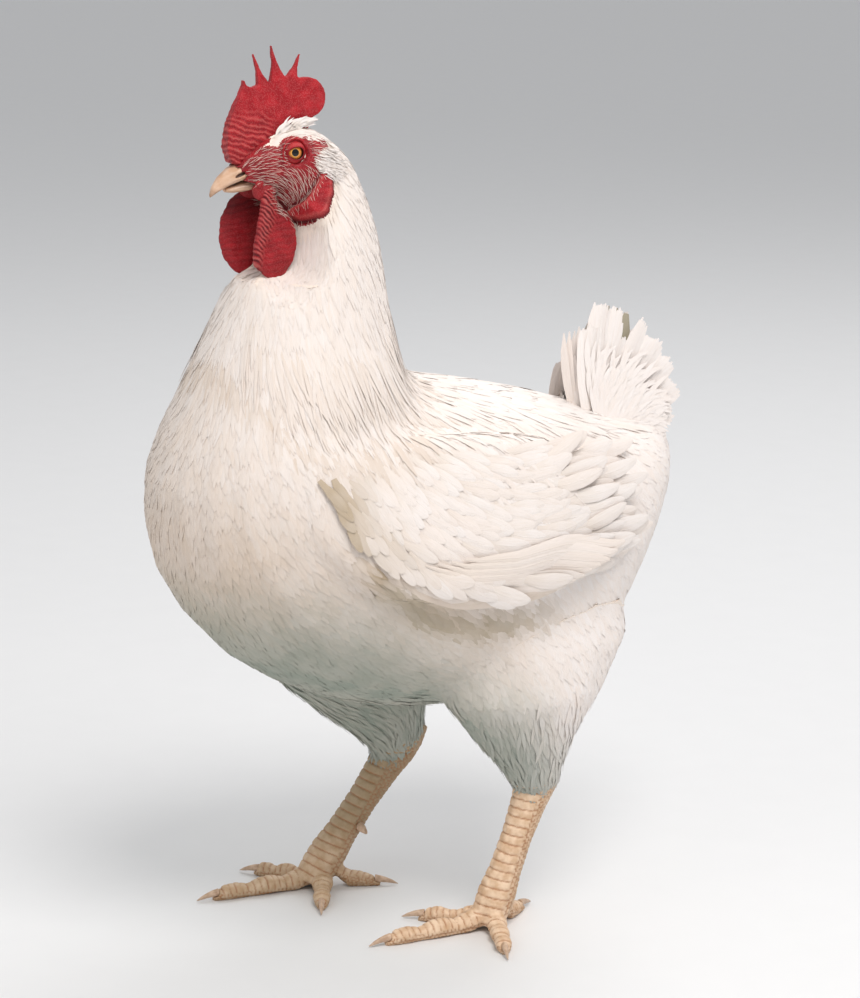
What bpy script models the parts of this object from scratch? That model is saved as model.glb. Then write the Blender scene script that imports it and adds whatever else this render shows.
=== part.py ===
"""A life-size standing rooster of a heavy white breed, as a still display model.

Metres, +Z up. The bird faces -Y and its left side is +X. The floor is z = 0, and the origin
is on the floor under the middle of the bird's box. Every named part is one closed solid, and
parts that meet keep a thin gap.
"""

from math import cos, pi, radians, sin

import bmesh
import bpy
from mathutils import Matrix, Vector
from mathutils.geometry import tessellate_polygon

# How far a cutter stands out from the part that it clears, and half the width of the thin
# cuts that part the body, in rows of BODY_ROWS.
GROWTH = 0.0005
HALF_CUT = 0.004

# How finely the rings of a form are divided.
BODY_SEGMENTS = 20
LIMB_SEGMENTS = 10
TOE_SEGMENTS = 8

# The body from rump to face. Each row is one section through the midline: the back's point
# (y, z), the belly's point (y, z), the half width, and how far up from the belly the widest
# line lies. The plane of a section holds both points and the X axis.
BODY_ROWS = (
    (0.183, 0.322, 0.188, 0.301, 0.012, 0.50),
    (0.161, 0.338, 0.171, 0.268, 0.042, 0.50),
    (0.120, 0.345, 0.144, 0.221, 0.068, 0.50),
    (0.074, 0.360, 0.110, 0.178, 0.086, 0.48),
    (0.030, 0.371, 0.042, 0.154, 0.096, 0.46),
    (-0.004, 0.378, -0.020, 0.152, 0.100, 0.46),
    (-0.022, 0.382, -0.087, 0.166, 0.100, 0.46),
    (-0.030, 0.388, -0.153, 0.203, 0.098, 0.44),
    (-0.034, 0.398, -0.194, 0.258, 0.093, 0.42),
    (-0.036, 0.412, -0.201, 0.318, 0.083, 0.42),
    (-0.039, 0.430, -0.180, 0.371, 0.067, 0.45),
    (-0.042, 0.455, -0.159, 0.418, 0.054, 0.50),
    (-0.047, 0.483, -0.140, 0.455, 0.045, 0.50),
    (-0.056, 0.508, -0.122, 0.479, 0.036, 0.52),
    (-0.066, 0.528, -0.114, 0.490, 0.029, 0.54),
    (-0.082, 0.542, -0.112, 0.494, 0.0245, 0.58),
    (-0.097, 0.549, -0.111, 0.495, 0.0205, 0.60),
    (-0.112, 0.548, -0.117, 0.499, 0.0178, 0.60),
    (-0.128, 0.542, -0.127, 0.504, 0.0150, 0.55),
    (-0.140, 0.533, -0.137, 0.508, 0.0110, 0.50),
    (-0.147, 0.526, -0.145, 0.512, 0.0060, 0.50),
)
RINGS_PER_ROW = 2
# Where thin cuts part the body, in rows from the rump.
PARTS_OF_BODY = (("rump", 0.0, 2.0), ("trunk", 2.0, 9.5), ("neck_lower", 9.5, 11.5),
                 ("neck_upper", 11.5, 13.6), ("head", 13.6, 20.0))

# Single comb: the foot of the blade, its five points and the lobe behind, as (y, z).
COMB_FRONT = ((-0.148, 0.527), (-0.151, 0.537), (-0.149, 0.551), (-0.144, 0.563), (-0.140, 0.570))
COMB_POINTS = (  # foot in front, tip, foot behind
    ((-0.140, 0.571), (-0.137, 0.579), (-0.133, 0.574)),
    ((-0.127, 0.575), (-0.1300, 0.595), (-0.120, 0.577)),
    ((-0.118, 0.577), (-0.1170, 0.600), (-0.108, 0.580)),
    ((-0.106, 0.580), (-0.0965, 0.594), (-0.099, 0.579)),
)
COMB_LOBE_CENTRE = (-0.092, 0.566)
COMB_LOBE_RADIUS = 0.0130
COMB_LOBE_FROM, COMB_LOBE_TO = 78, -75
COMB_FOOT = ((-0.093, 0.546), (-0.112, 0.543), (-0.130, 0.534), (-0.141, 0.525))
COMB_THICKNESS_LOW, COMB_THICKNESS_HIGH = 0.0105, 0.0030
COMB_LOW_Z, COMB_HIGH_Z = 0.540, 0.590

EYE_CENTRE = (0.0118, -0.1085, 0.5330)
EYE_RADIUS = 0.0078

# Beak halves: rows of y, z of the centre, half width, rise above it and drop below it.
BEAK_UPPER_ROWS = (
    (-0.132, 0.520, 0.0098, 0.0090, 0.0035),
    (-0.141, 0.519, 0.0088, 0.0088, 0.0040),
    (-0.149, 0.516, 0.0070, 0.0082, 0.0035),
    (-0.156, 0.512, 0.0048, 0.0066, 0.0030),
    (-0.1600, 0.5090, 0.0028, 0.0042, 0.0024),
    (-0.1618, 0.5064, 0.0010, 0.0020, 0.0012),
)
BEAK_LOWER_ROWS = (
    (-0.128, 0.5128, 0.0088, 0.0026, 0.0040),
    (-0.138, 0.5113, 0.0078, 0.0028, 0.0042),
    (-0.146, 0.5096, 0.0058, 0.0022, 0.0030),
    (-0.1515, 0.5082, 0.0032, 0.0014, 0.0016),
)

# Wattle and ear lobe of the left side: rows of x, y, z of the centre, half length along the
# body and half thickness, from the root down.
WATTLE_ROWS = (
    (0.0106, -0.1270, 0.5085, 0.0070, 0.0020),
    (0.0122, -0.1300, 0.5020, 0.0130, 0.0028),
    (0.0138, -0.1310, 0.4900, 0.0175, 0.0032),
    (0.0146, -0.1305, 0.4760, 0.0190, 0.0030),
    (0.0148, -0.1290, 0.4640, 0.0172, 0.0028),
    (0.0144, -0.1275, 0.4555, 0.0120, 0.0024),
    (0.0140, -0.1265, 0.4510, 0.0055, 0.0016),
)
EARLOBE_ROWS = (
    (0.0215, -0.0800, 0.5155, 0.0040, 0.0022),
    (0.0225, -0.0825, 0.5090, 0.0085, 0.0034),
    (0.0228, -0.0880, 0.4990, 0.0105, 0.0036),
    (0.0215, -0.0945, 0.4900, 0.0095, 0.0034),
    (0.0190, -0.1010, 0.4835, 0.0050, 0.0022),
)

# Folded wing of the left side, from the bend to the tertials' ends: rows of y, z and x of the
# centre, half height, half thickness, and the lean of its top towards the spine in degrees.
WING_ROWS = (
    (-0.146, 0.318, 0.0800, 0.010, 0.004, 8),
    (-0.138, 0.320, 0.0840, 0.030, 0.010, 10),
    (-0.118, 0.318, 0.0880, 0.046, 0.014, 14),
    (-0.085, 0.306, 0.0905, 0.055, 0.016, 17),
    (-0.045, 0.300, 0.0920, 0.056, 0.016, 18),
    (0.000, 0.302, 0.0910, 0.052, 0.015, 18),
    (0.040, 0.302, 0.0865, 0.044, 0.013, 18),
    (0.070, 0.297, 0.0815, 0.033, 0.010, 16),
    (0.088, 0.290, 0.0780, 0.020, 0.006, 14),
    (0.094, 0.288, 0.0765, 0.008, 0.003, 14),
)
PRIMARIES_ROWS = (
    (-0.035, 0.256, 0.0960, 0.008, 0.0040, -4),
    (-0.015, 0.254, 0.0965, 0.013, 0.0055, -4),
    (0.020, 0.254, 0.0945, 0.015, 0.0055, -2),
    (0.055, 0.258, 0.0885, 0.015, 0.0050, 0),
    (0.078, 0.262, 0.0835, 0.012, 0.0040, 2),
    (0.088, 0.264, 0.0815, 0.005, 0.0020, 2),
)

# The tail: two leaves that meet along the top like a tent, each a fan of broad feathers.
TAIL_ROOT = (0.0, 0.124, 0.312)
TAIL_FEATHERS = 7
TAIL_TOP_ANGLE, TAIL_LOW_ANGLE = 78, 23
TAIL_LONG, TAIL_SHORT = 0.105, 0.060
TAIL_NOTCH = 0.006
TAIL_TIP_POINTS = 4
TAIL_STUMP = ((-0.010, -0.012), (-0.014, 0.014))  # the buried end, as (y, z) from the root
TAIL_THICKNESS = 0.005
TAIL_TENT = 10
TAIL_RIDGE_GAP = 0.0008

# Legs. A thigh's rows run down from inside the trunk: centre x, y, z, half width, half length.
THIGH_ROWS = {
    "left": (
        (0.052, 0.046, 0.235, 0.036, 0.072),
        (0.058, 0.046, 0.198, 0.038, 0.072),
        (0.062, 0.037, 0.165, 0.036, 0.060),
        (0.062, 0.038, 0.135, 0.026, 0.0375),
        (0.061, 0.044, 0.113, 0.0180, 0.0230),
        (0.060, 0.047, 0.100, 0.0145, 0.0175),
    ),
    "right": (
        (-0.050, -0.020, 0.235, 0.036, 0.070),
        (-0.060, -0.028, 0.190, 0.038, 0.070),
        (-0.067, -0.022, 0.155, 0.034, 0.058),
        (-0.070, -0.006, 0.128, 0.026, 0.041),
        (-0.071, 0.007, 0.106, 0.0195, 0.0250),
        (-0.071, 0.012, 0.094, 0.0155, 0.0180),
    ),
}
HOCK = {"left": (0.060, 0.051, 0.106), "right": (-0.071, 0.018, 0.100)}
ANKLE = {"left": (0.057, 0.0175, 0.018), "right": (-0.075, -0.0445, 0.018)}
FOOT_HEADING = {"left": -4, "right": -7}

# A shank's rows: how far from hock to ankle, half width, half depth.
SHANK_ROWS = (
    (-0.16, 0.0095, 0.0115),
    (-0.04, 0.0115, 0.0148),
    (0.08, 0.0116, 0.0152),
    (0.24, 0.0102, 0.0128),
    (0.50, 0.0092, 0.0110),
    (0.76, 0.0098, 0.0116),
    (0.92, 0.0118, 0.0135),
    (1.04, 0.0120, 0.0132),
    (1.17, 0.0105, 0.0115),
)
SPUR_ALONG, SPUR_LENGTH, SPUR_RADIUS = 0.66, 0.013, 0.0040

# Toes: length without the claw, radius at root and tip, number of pads, height of the root.
TOES = {
    "middle": (0.078, 0.0075, 0.0047, 3, 0.0115),
    "inner": (0.049, 0.0070, 0.0046, 2, 0.0110),
    "outer": (0.050, 0.0069, 0.0046, 3, 0.0110),
    "hallux": (0.037, 0.0060, 0.0044, 1, 0.0180),
}
# How far each toe turns from the foot's heading towards the bird's outer side.
TOE_TURNS = {
    "left": {"middle": 0, "inner": -40, "outer": 71, "hallux": 214},
    "right": {"middle": 0, "inner": -68, "outer": 47, "hallux": 204},
}
TOE_START = 0.004
CLAW_LENGTH, CLAW_RADIUS = 0.0125, 0.0027
CLAW_ROOT = 0.004
CLAW_TIP_Z = 0.0012
PAD_SWELL = 0.16
FLOOR_DIP = 0.0009

COLOURS = {
    "plumage": ((0.86, 0.83, 0.79), 0.75),
    "red_skin": ((0.50, 0.020, 0.025), 0.50),
    "horn": ((0.72, 0.50, 0.30), 0.40),
    "claw": ((0.70, 0.55, 0.42), 0.40),
    "leg_skin": ((0.62, 0.37, 0.20), 0.55),
    "eye": ((0.75, 0.28, 0.04), 0.08),
}


def clear_scene():
    for obj in list(bpy.data.objects):
        bpy.data.objects.remove(obj)


def new_collection(name):
    collection = bpy.data.collections.new(name)
    bpy.context.scene.collection.children.link(collection)
    return collection


def material(name):
    """A plain Principled material, made once for each finish."""
    if name in bpy.data.materials:
        return bpy.data.materials[name]
    made = bpy.data.materials.new(name)
    made.use_nodes = True
    shader = made.node_tree.nodes["Principled BSDF"]
    colour, roughness = COLOURS[name]
    shader.inputs["Base Color"].default_value = (*colour, 1)
    shader.inputs["Roughness"].default_value = roughness
    shader.inputs["Metallic"].default_value = 0.0
    return made


def new_object(name, bm, finish):
    """Turns bm into a smooth-shaded object in the bird's collection."""
    bmesh.ops.recalc_face_normals(bm, faces=bm.faces)
    mesh = bpy.data.meshes.new(name)
    bm.to_mesh(mesh)
    bm.free()
    mesh.shade_smooth()
    mesh.set_sharp_from_angle(angle=radians(50))
    obj = bpy.data.objects.new(name, mesh)
    obj.data.materials.append(material(finish))
    BIRD.objects.link(obj)
    obj.parent = STAND_POINT
    return obj


def between(before, start, end, after, t):
    """Catmull-Rom interpolation of four rows."""
    return tuple(
        0.5 * (2 * b + (c - a) * t + (2 * a - 5 * b + 4 * c - d) * t**2
               + (3 * b - a - 3 * c + d) * t**3)
        for a, b, c, d in zip(before, start, end, after)
    )


def row_at(rows, place):
    """The smooth curve's row at a place counted in spans."""
    i = min(int(place), len(rows) - 2)
    last = len(rows) - 1
    return between(rows[max(i - 1, 0)], rows[i], rows[i + 1], rows[min(i + 2, last)], place - i)


def oval(centre, side, up, half_width, rise, drop, segments, square=1.0):
    """Points of an oval about centre. square under 1 fills its corners."""
    points = []
    for k in range(segments):
        angle = 2 * pi * k / segments
        c, s = cos(angle), sin(angle)
        x = abs(c) ** square * (half_width if c > 0 else -half_width)
        y = abs(s) ** square * (rise if s > 0 else -drop)
        points.append(Vector(centre) + Vector(side) * x + Vector(up) * y)
    return points


def loft(name, rings, finish):
    """A closed form through rings of equally many points."""
    bm = bmesh.new()
    loops = [[bm.verts.new(p) for p in ring] for ring in rings]
    count = len(loops[0])
    for low, high in zip(loops, loops[1:]):
        for k in range(count):
            j = (k + 1) % count
            bm.faces.new((low[k], low[j], high[j], high[k]))
    bm.faces.new(loops[0])
    bm.faces.new(loops[-1])
    return new_object(name, bm, finish)


def cutter_of(obj, grow=GROWTH):
    """A helper with obj's form, grown by a little, that cuts its neighbours."""
    name = f"{obj.name}_cutter"
    if name in bpy.data.objects:
        return bpy.data.objects[name]
    helper = bpy.data.objects.new(name, obj.data.copy())
    bm = bmesh.new()
    bm.from_mesh(helper.data)
    bm.normal_update()
    moves = [vert.normal * grow for vert in bm.verts]
    for vert, move in zip(bm.verts, moves):
        vert.co += move
    bm.to_mesh(helper.data)
    bm.free()
    CUTTERS.objects.link(helper)
    helper.parent = STAND_POINT
    helper.hide_render = True
    helper.display_type = "WIRE"
    return helper


def cut(obj, *others):
    """Takes the grown form of each other object out of obj."""
    for other in others:
        boolean = obj.modifiers.new(f"clear_{other.name}", "BOOLEAN")
        boolean.operation = "DIFFERENCE"
        boolean.object = cutter_of(other)


def level_with_floor(obj):
    """Gives obj a flat where it would reach below the floor."""
    bm = bmesh.new()
    bm.from_mesh(obj.data)
    everything = bm.verts[:] + bm.edges[:] + bm.faces[:]
    cut_edges = bmesh.ops.bisect_plane(
        bm, geom=everything, plane_co=(0, 0, 0), plane_no=(0, 0, -1), clear_outer=True
    )["geom_cut"]
    edges = [part for part in cut_edges if isinstance(part, bmesh.types.BMEdge)]
    bmesh.ops.holes_fill(bm, edges=edges)
    bmesh.ops.recalc_face_normals(bm, faces=bm.faces)
    bm.to_mesh(obj.data)
    bm.free()


def mirrored(obj, name):
    """The right-hand twin of a left-hand piece."""
    bm = bmesh.new()
    bm.from_mesh(obj.data)
    bmesh.ops.transform(bm, matrix=Matrix.Scale(-1, 4, (1, 0, 0)), verts=bm.verts)
    return new_object(name, bm, obj.data.materials[0].name)


# --- the feathered body -----------------------------------------------------------------


def body_ring(place):
    dorsal_y, dorsal_z, belly_y, belly_z, half_width, waist = row_at(BODY_ROWS, place)
    back, belly = Vector((0, dorsal_y, dorsal_z)), Vector((0, belly_y, belly_z))
    up = back - belly
    height = up.length
    return oval(belly + up * waist, (1, 0, 0), up / height, half_width,
                height * (1 - waist), height * waist, BODY_SEGMENTS)


def make_body():
    """Rump, trunk, neck and head: one form, parted by thin cuts."""
    made = {}
    end = len(BODY_ROWS) - 1
    for name, start, stop in PARTS_OF_BODY:
        first = start if start == 0 else start + HALF_CUT
        last = stop if stop == end else stop - HALF_CUT
        count = round((last - first) * RINGS_PER_ROW)
        places = [first + (last - first) * k / count for k in range(count + 1)]
        made[name] = loft(name, [body_ring(place) for place in places], "plumage")
    return made


def slab_ring(y, z, x, half_height, half_thickness, lean):
    tilt = radians(lean)
    up = (-sin(tilt), 0, cos(tilt))
    out = (cos(tilt), 0, sin(tilt))
    return oval((x, y, z), out, up, half_thickness, half_height, half_height,
                LIMB_SEGMENTS + 4, 0.9)


def make_wing(name, rows):
    left = loft(f"{name}_left", [slab_ring(*row) for row in rows], "plumage")
    return left, mirrored(left, f"{name}_right")


# --- head -------------------------------------------------------------------------------


def comb_outline():
    points = list(COMB_FRONT)
    for front, tip, behind in COMB_POINTS:
        points += spike(front, tip, behind)
    cy, cz = COMB_LOBE_CENTRE
    steps = 8
    for k in range(steps + 1):
        angle = radians(COMB_LOBE_FROM + (COMB_LOBE_TO - COMB_LOBE_FROM) * k / steps)
        points.append((cy + COMB_LOBE_RADIUS * cos(angle), cz + COMB_LOBE_RADIUS * sin(angle)))
    return points + list(COMB_FOOT)


def spike(front, tip, behind):
    """One point of the comb, with hollow flanks."""
    foot, top, heel = Vector(front), Vector(tip), Vector(behind)
    middle = (foot + heel) / 2
    rising = foot.lerp(top, 0.45).lerp(middle.lerp(top, 0.45), 0.35)
    falling = heel.lerp(top, 0.45).lerp(middle.lerp(top, 0.45), 0.35)
    blunt = Vector((0.0003, 0))
    return [tuple(p) for p in (foot, rising, top - blunt, top + blunt, falling, heel)]


def make_comb():
    """The blade: thick along the crown and thin at its points."""
    bm = bmesh.new()
    outline = comb_outline()
    sides = []
    for side in (-1, 1):
        sides.append([bm.verts.new((side * comb_half(z), y, z)) for y, z in outline])
    count = len(outline)
    right, left = sides
    for k in range(count):
        j = (k + 1) % count
        bm.faces.new((right[k], right[j], left[j], left[k]))
    for a, b, c in tessellate_polygon([[Vector((0, y, z)) for y, z in outline]]):
        bm.faces.new((right[a], right[b], right[c]))
        bm.faces.new((left[c], left[b], left[a]))
    return new_object("comb", bm, "red_skin")


def comb_half(z):
    share = min(1, max(0, (z - COMB_LOW_Z) / (COMB_HIGH_Z - COMB_LOW_Z)))
    return (COMB_THICKNESS_LOW + (COMB_THICKNESS_HIGH - COMB_THICKNESS_LOW) * share) / 2


def make_eye():
    bm = bmesh.new()
    bmesh.ops.create_uvsphere(bm, u_segments=12, v_segments=8, radius=EYE_RADIUS)
    bmesh.ops.rotate(bm, verts=bm.verts, matrix=Matrix.Rotation(radians(90), 3, "Y"))
    bmesh.ops.translate(bm, verts=bm.verts, vec=EYE_CENTRE)
    left = new_object("eye_left", bm, "eye")
    return left, mirrored(left, "eye_right")


def make_beak(name, rows):
    rings = [
        oval((0, y, z), (1, 0, 0), (0, 0, 1), half_width, rise, drop, LIMB_SEGMENTS)
        for y, z, half_width, rise, drop in rows
    ]
    return loft(name, rings, "horn")


def make_flap(name, rows):
    """A wattle or an ear lobe: a flat drop of skin."""
    rings = [
        oval((x, y, z), (1, 0, 0), (0, 1, 0), half_thickness, half_length, half_length,
             LIMB_SEGMENTS)
        for x, y, z, half_length, half_thickness in rows
    ]
    left = loft(f"{name}_left", rings, "red_skin")
    return left, mirrored(left, f"{name}_right")


# --- tail -------------------------------------------------------------------------------


def make_tail_leaf(name, side):
    """One leaf of the tail: a fan with a scalloped edge, leaning out from the midline."""
    outline = list(TAIL_STUMP)
    for i in range(TAIL_FEATHERS):
        share = i / (TAIL_FEATHERS - 1)
        width = (TAIL_TOP_ANGLE - TAIL_LOW_ANGLE) / (TAIL_FEATHERS - 1)
        middle = TAIL_TOP_ANGLE + (TAIL_LOW_ANGLE - TAIL_TOP_ANGLE) * share
        length = TAIL_LONG + (TAIL_SHORT - TAIL_LONG) * share**1.5
        for k in range(TAIL_TIP_POINTS):
            across = (2 * k + 1) / TAIL_TIP_POINTS - 1
            angle = radians(middle - across * width / 2)
            reach = length - TAIL_NOTCH * abs(across) ** 3
            outline.append((reach * cos(angle), reach * sin(angle)))
    bm = bmesh.new()
    inner_x = side * TAIL_RIDGE_GAP / 2
    outer_x = inner_x + side * TAIL_THICKNESS
    inner, outer = ([bm.verts.new((x, y, z)) for y, z in outline] for x in (inner_x, outer_x))
    root_inner, root_outer = (bm.verts.new((x, 0, 0)) for x in (inner_x, outer_x))
    count = len(outline)
    for k in range(count):
        j = (k + 1) % count
        bm.faces.new((inner[k], inner[j], outer[j], outer[k]))
        bm.faces.new((root_inner, inner[j], inner[k]))
        bm.faces.new((root_outer, outer[k], outer[j]))
    lean = Matrix.Rotation(radians(-side * TAIL_TENT), 3, "Y")
    ridge = Vector((side * TAIL_RIDGE_GAP / 2, 0, TAIL_LONG))
    bmesh.ops.translate(bm, verts=bm.verts, vec=-ridge)
    bmesh.ops.rotate(bm, verts=bm.verts, matrix=lean)
    bmesh.ops.translate(bm, verts=bm.verts, vec=ridge + Vector(TAIL_ROOT))
    return new_object(name, bm, "plumage")


# --- legs -------------------------------------------------------------------------------


def make_thigh(side):
    rings = [
        oval((x, y, z), (1, 0, 0), (0, 1, 0), half_width, half_length, half_length,
             LIMB_SEGMENTS + 4)
        for x, y, z, half_width, half_length in THIGH_ROWS[side]
    ]
    return loft(f"thigh_{side}", rings, "plumage")


def leg_axes(side):
    """The shank's hock, its run down to the ankle, its across and its fore-and-aft axis."""
    hock, ankle = Vector(HOCK[side]), Vector(ANKLE[side])
    run = ankle - hock
    heading = radians(FOOT_HEADING[side])
    ahead = Vector((sin(heading), -cos(heading), 0))
    across = run.cross(ahead).normalized()
    return hock, run, across, across.cross(run).normalized()


def make_shank(side):
    hock, run, across, fore = leg_axes(side)
    rings = [
        oval(hock + run * share, across, fore, half_width, half_depth, half_depth, LIMB_SEGMENTS)
        for share, half_width, half_depth in SHANK_ROWS
    ]
    shank = loft(f"shank_{side}", rings, "leg_skin")
    level_with_floor(shank)
    return shank


def make_spur(side):
    """A short blunt spur on the inner back of the shank."""
    hock, run, across, fore = leg_axes(side)
    inward = -1 if side == "left" else 1
    inner = across * (inward if across.x > 0 else -inward)
    out = (inner * 0.8 - fore * 0.6).normalized()
    along = run.normalized()
    start = hock + run * SPUR_ALONG + out * 0.005
    rings = []
    for share, width in ((0, 1.0), (0.35, 0.95), (0.7, 0.65), (0.92, 0.35), (1.0, 0.15)):
        centre = start + out * SPUR_LENGTH * share + along * 0.002 * share**2
        radius = SPUR_RADIUS * width
        rings.append(oval(centre, out.cross(along), along, radius, radius, radius, TOE_SEGMENTS))
    return loft(f"spur_{side}", rings, "claw")


def toe_direction(side, toe):
    outward = 1 if side == "left" else -1
    angle = radians(FOOT_HEADING[side] + outward * TOE_TURNS[side][toe])
    return Vector((sin(angle), -cos(angle), 0))


def make_toe(side, toe):
    """A toe with swollen pads, flat underneath where it stands on the floor."""
    length, root_radius, tip_radius, pads, root_height = TOES[toe]
    ahead = toe_direction(side, toe)
    sideways = Vector((-ahead.y, ahead.x, 0))
    start = Vector((*ANKLE[side][:2], 0)) + ahead * TOE_START
    rings = []
    steps = 2 * pads + 3
    for k in range(steps + 1):
        share = k / steps
        swell = 1 + PAD_SWELL * sin(share * pads * 2 * pi - 0.5 * pi) * min(1, 3 * share)
        radius = (root_radius + (tip_radius - root_radius) * share) * swell
        if k == steps:
            radius *= 0.6
        height = max(radius - FLOOR_DIP, root_height * (1 - share / 0.5))
        centre = start + ahead * length * share + Vector((0, 0, height))
        rings.append(oval(centre, sideways, (0, 0, 1), radius * 1.05, radius, radius, TOE_SEGMENTS))
    made = loft(f"toe_{toe}_{side}", rings, "leg_skin")
    level_with_floor(made)
    return made


def make_claw(side, toe):
    """A gently curved claw that comes down to the floor."""
    length, _, tip_radius, _, _ = TOES[toe]
    ahead = toe_direction(side, toe)
    sideways = Vector((-ahead.y, ahead.x, 0))
    start = Vector((*ANKLE[side][:2], 0)) + ahead * (TOE_START + length - CLAW_ROOT)
    rings = []
    steps = 4
    for k in range(steps + 1):
        share = k / steps
        radius = CLAW_RADIUS * (1 - share) ** 0.7 + 0.0004
        root_z = tip_radius * 1.15
        height = root_z - (root_z - CLAW_TIP_Z) * share**1.8
        centre = start + ahead * (CLAW_LENGTH + CLAW_ROOT) * share + Vector((0, 0, height))
        rings.append(oval(centre, sideways, (0, 0, 1), radius * 0.8, radius, radius, TOE_SEGMENTS))
    claw = loft(f"claw_{toe}_{side}", rings, "claw")
    level_with_floor(claw)
    return claw


def make_leg(side, body, wing, primaries):
    thigh, shank, spur = make_thigh(side), make_shank(side), make_spur(side)
    cut(thigh, body["trunk"], body["rump"], wing, primaries, shank)
    cut(spur, shank)
    toes = []
    for toe in TOES:
        piece, claw = make_toe(side, toe), make_claw(side, toe)
        cut(piece, shank, claw, *toes)
        toes.append(piece)


# --- the whole bird ---------------------------------------------------------------------


def make_head_parts(body):
    head = body["head"]
    comb = make_comb()
    upper, lower = make_beak("beak_upper", BEAK_UPPER_ROWS), make_beak("beak_lower", BEAK_LOWER_ROWS)
    eyes, wattles = make_eye(), make_flap("wattle", WATTLE_ROWS)
    lobes = make_flap("earlobe", EARLOBE_ROWS)
    cut(head, comb, upper, lower, *eyes, *wattles, *lobes)
    cut(body["neck_upper"], *wattles, *lobes)
    cut(upper, comb, lower)
    for wattle in wattles:
        cut(wattle, lower)


def make_bird():
    body = make_body()
    wings, primaries = make_wing("wing", WING_ROWS), make_wing("primaries", PRIMARIES_ROWS)
    tails = make_tail_leaf("tail_left", 1), make_tail_leaf("tail_right", -1)
    make_head_parts(body)
    cut(tails[1], tails[0])
    cut(body["rump"], *tails, *wings)
    cut(body["trunk"], *tails, *wings, *primaries)
    cut(body["neck_lower"], *wings)
    for wing, bundle in zip(wings, primaries):
        cut(wing, bundle)
    make_leg("left", body, wings[0], primaries[0])
    make_leg("right", body, wings[1], primaries[1])


def box_of_bird():
    """Lowest and highest corner of every piece, as evaluated."""
    bpy.context.view_layer.update()
    graph = bpy.context.evaluated_depsgraph_get()
    corners = []
    for obj in BIRD.objects:
        if obj.type == "MESH":
            shown = obj.evaluated_get(graph)
            corners += [shown.matrix_world @ Vector(c) for c in shown.bound_box]
    return [Vector(f(c[i] for c in corners) for i in range(3)) for f in (min, max)]


def centre_on_floor():
    low, high = box_of_bird()
    STAND_POINT.location = (-(low.x + high.x) / 2, -(low.y + high.y) / 2, -low.z)


clear_scene()
BIRD = new_collection("rooster")
CUTTERS = new_collection("cutters")
STAND_POINT = bpy.data.objects.new("stand_point", None)
BIRD.objects.link(STAND_POINT)
make_bird()
centre_on_floor()
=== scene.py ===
"""A life-size standing white rooster: skin, eyes, beak, claws and a coat of separate feathers."""

import itertools
import math

import bmesh
import bpy
import numpy as np
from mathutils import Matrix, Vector
from mathutils.bvhtree import BVHTree


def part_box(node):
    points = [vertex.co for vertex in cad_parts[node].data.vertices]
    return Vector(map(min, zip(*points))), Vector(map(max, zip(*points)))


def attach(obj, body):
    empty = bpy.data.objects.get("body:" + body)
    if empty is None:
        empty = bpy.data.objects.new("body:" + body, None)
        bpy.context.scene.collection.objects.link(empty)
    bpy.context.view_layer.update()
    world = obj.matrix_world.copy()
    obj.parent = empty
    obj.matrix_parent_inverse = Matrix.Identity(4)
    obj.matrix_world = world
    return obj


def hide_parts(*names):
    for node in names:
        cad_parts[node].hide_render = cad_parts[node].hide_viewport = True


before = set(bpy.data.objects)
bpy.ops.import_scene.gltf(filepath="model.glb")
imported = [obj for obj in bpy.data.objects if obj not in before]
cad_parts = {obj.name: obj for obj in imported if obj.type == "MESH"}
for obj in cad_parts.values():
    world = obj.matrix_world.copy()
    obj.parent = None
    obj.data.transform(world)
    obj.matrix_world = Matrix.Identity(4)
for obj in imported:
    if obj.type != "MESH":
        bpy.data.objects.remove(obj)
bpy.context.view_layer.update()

SIDES = {"left": 1, "right": -1}
TOES = ("middle", "inner", "outer", "hallux")
FULL_TURN = 6.2832


def centre_of(node):
    low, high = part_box(node)
    return np.array((low + high) / 2)


EYE = centre_of("eye_left")
MID = (EYE[0] + centre_of("eye_right")[0]) / 2
EYE_RADIUS = (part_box("eye_left")[1].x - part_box("eye_left")[0].x) / 2
EYE_OUT = EYE[0] - MID

# ---- camera and lights

VIEW_TARGET = Vector((0.0053, 0.0067, 0.2905))
VIEW_AZIMUTH, VIEW_ELEVATION, VIEW_DISTANCE = 60, 13, 2.15
LENS, SENSOR = 114.8, 36


def placed(name, data):
    """A new object in the scene."""
    obj = bpy.data.objects.new(name, data)
    bpy.context.collection.objects.link(obj)
    return obj


def aimed(name, data, azimuth, elevation, distance):
    """A camera or light that faces the bird from that azimuth and elevation in degrees."""
    a, e = math.radians(azimuth), math.radians(elevation)
    away = Vector((math.sin(a) * math.cos(e), -math.cos(a) * math.cos(e), math.sin(e)))
    thing = placed(name, data)
    thing.location = VIEW_TARGET + away * distance
    thing.rotation_euler = (-away).to_track_quat("-Z", "Y").to_euler()
    return thing


def add_camera():
    data = bpy.data.cameras.new("camera")
    data.lens, data.sensor_width = LENS, SENSOR
    bpy.context.scene.camera = aimed("camera", data, VIEW_AZIMUTH, VIEW_ELEVATION, VIEW_DISTANCE)


def add_light(name, azimuth, elevation, distance, size, watts, colour=(1, 1, 1)):
    data = bpy.data.lights.new(name, "AREA")
    data.shape, data.size, data.energy, data.color = "DISK", size, watts, colour
    aimed(name, data, azimuth, elevation, distance)


# ---- shader values


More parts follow.
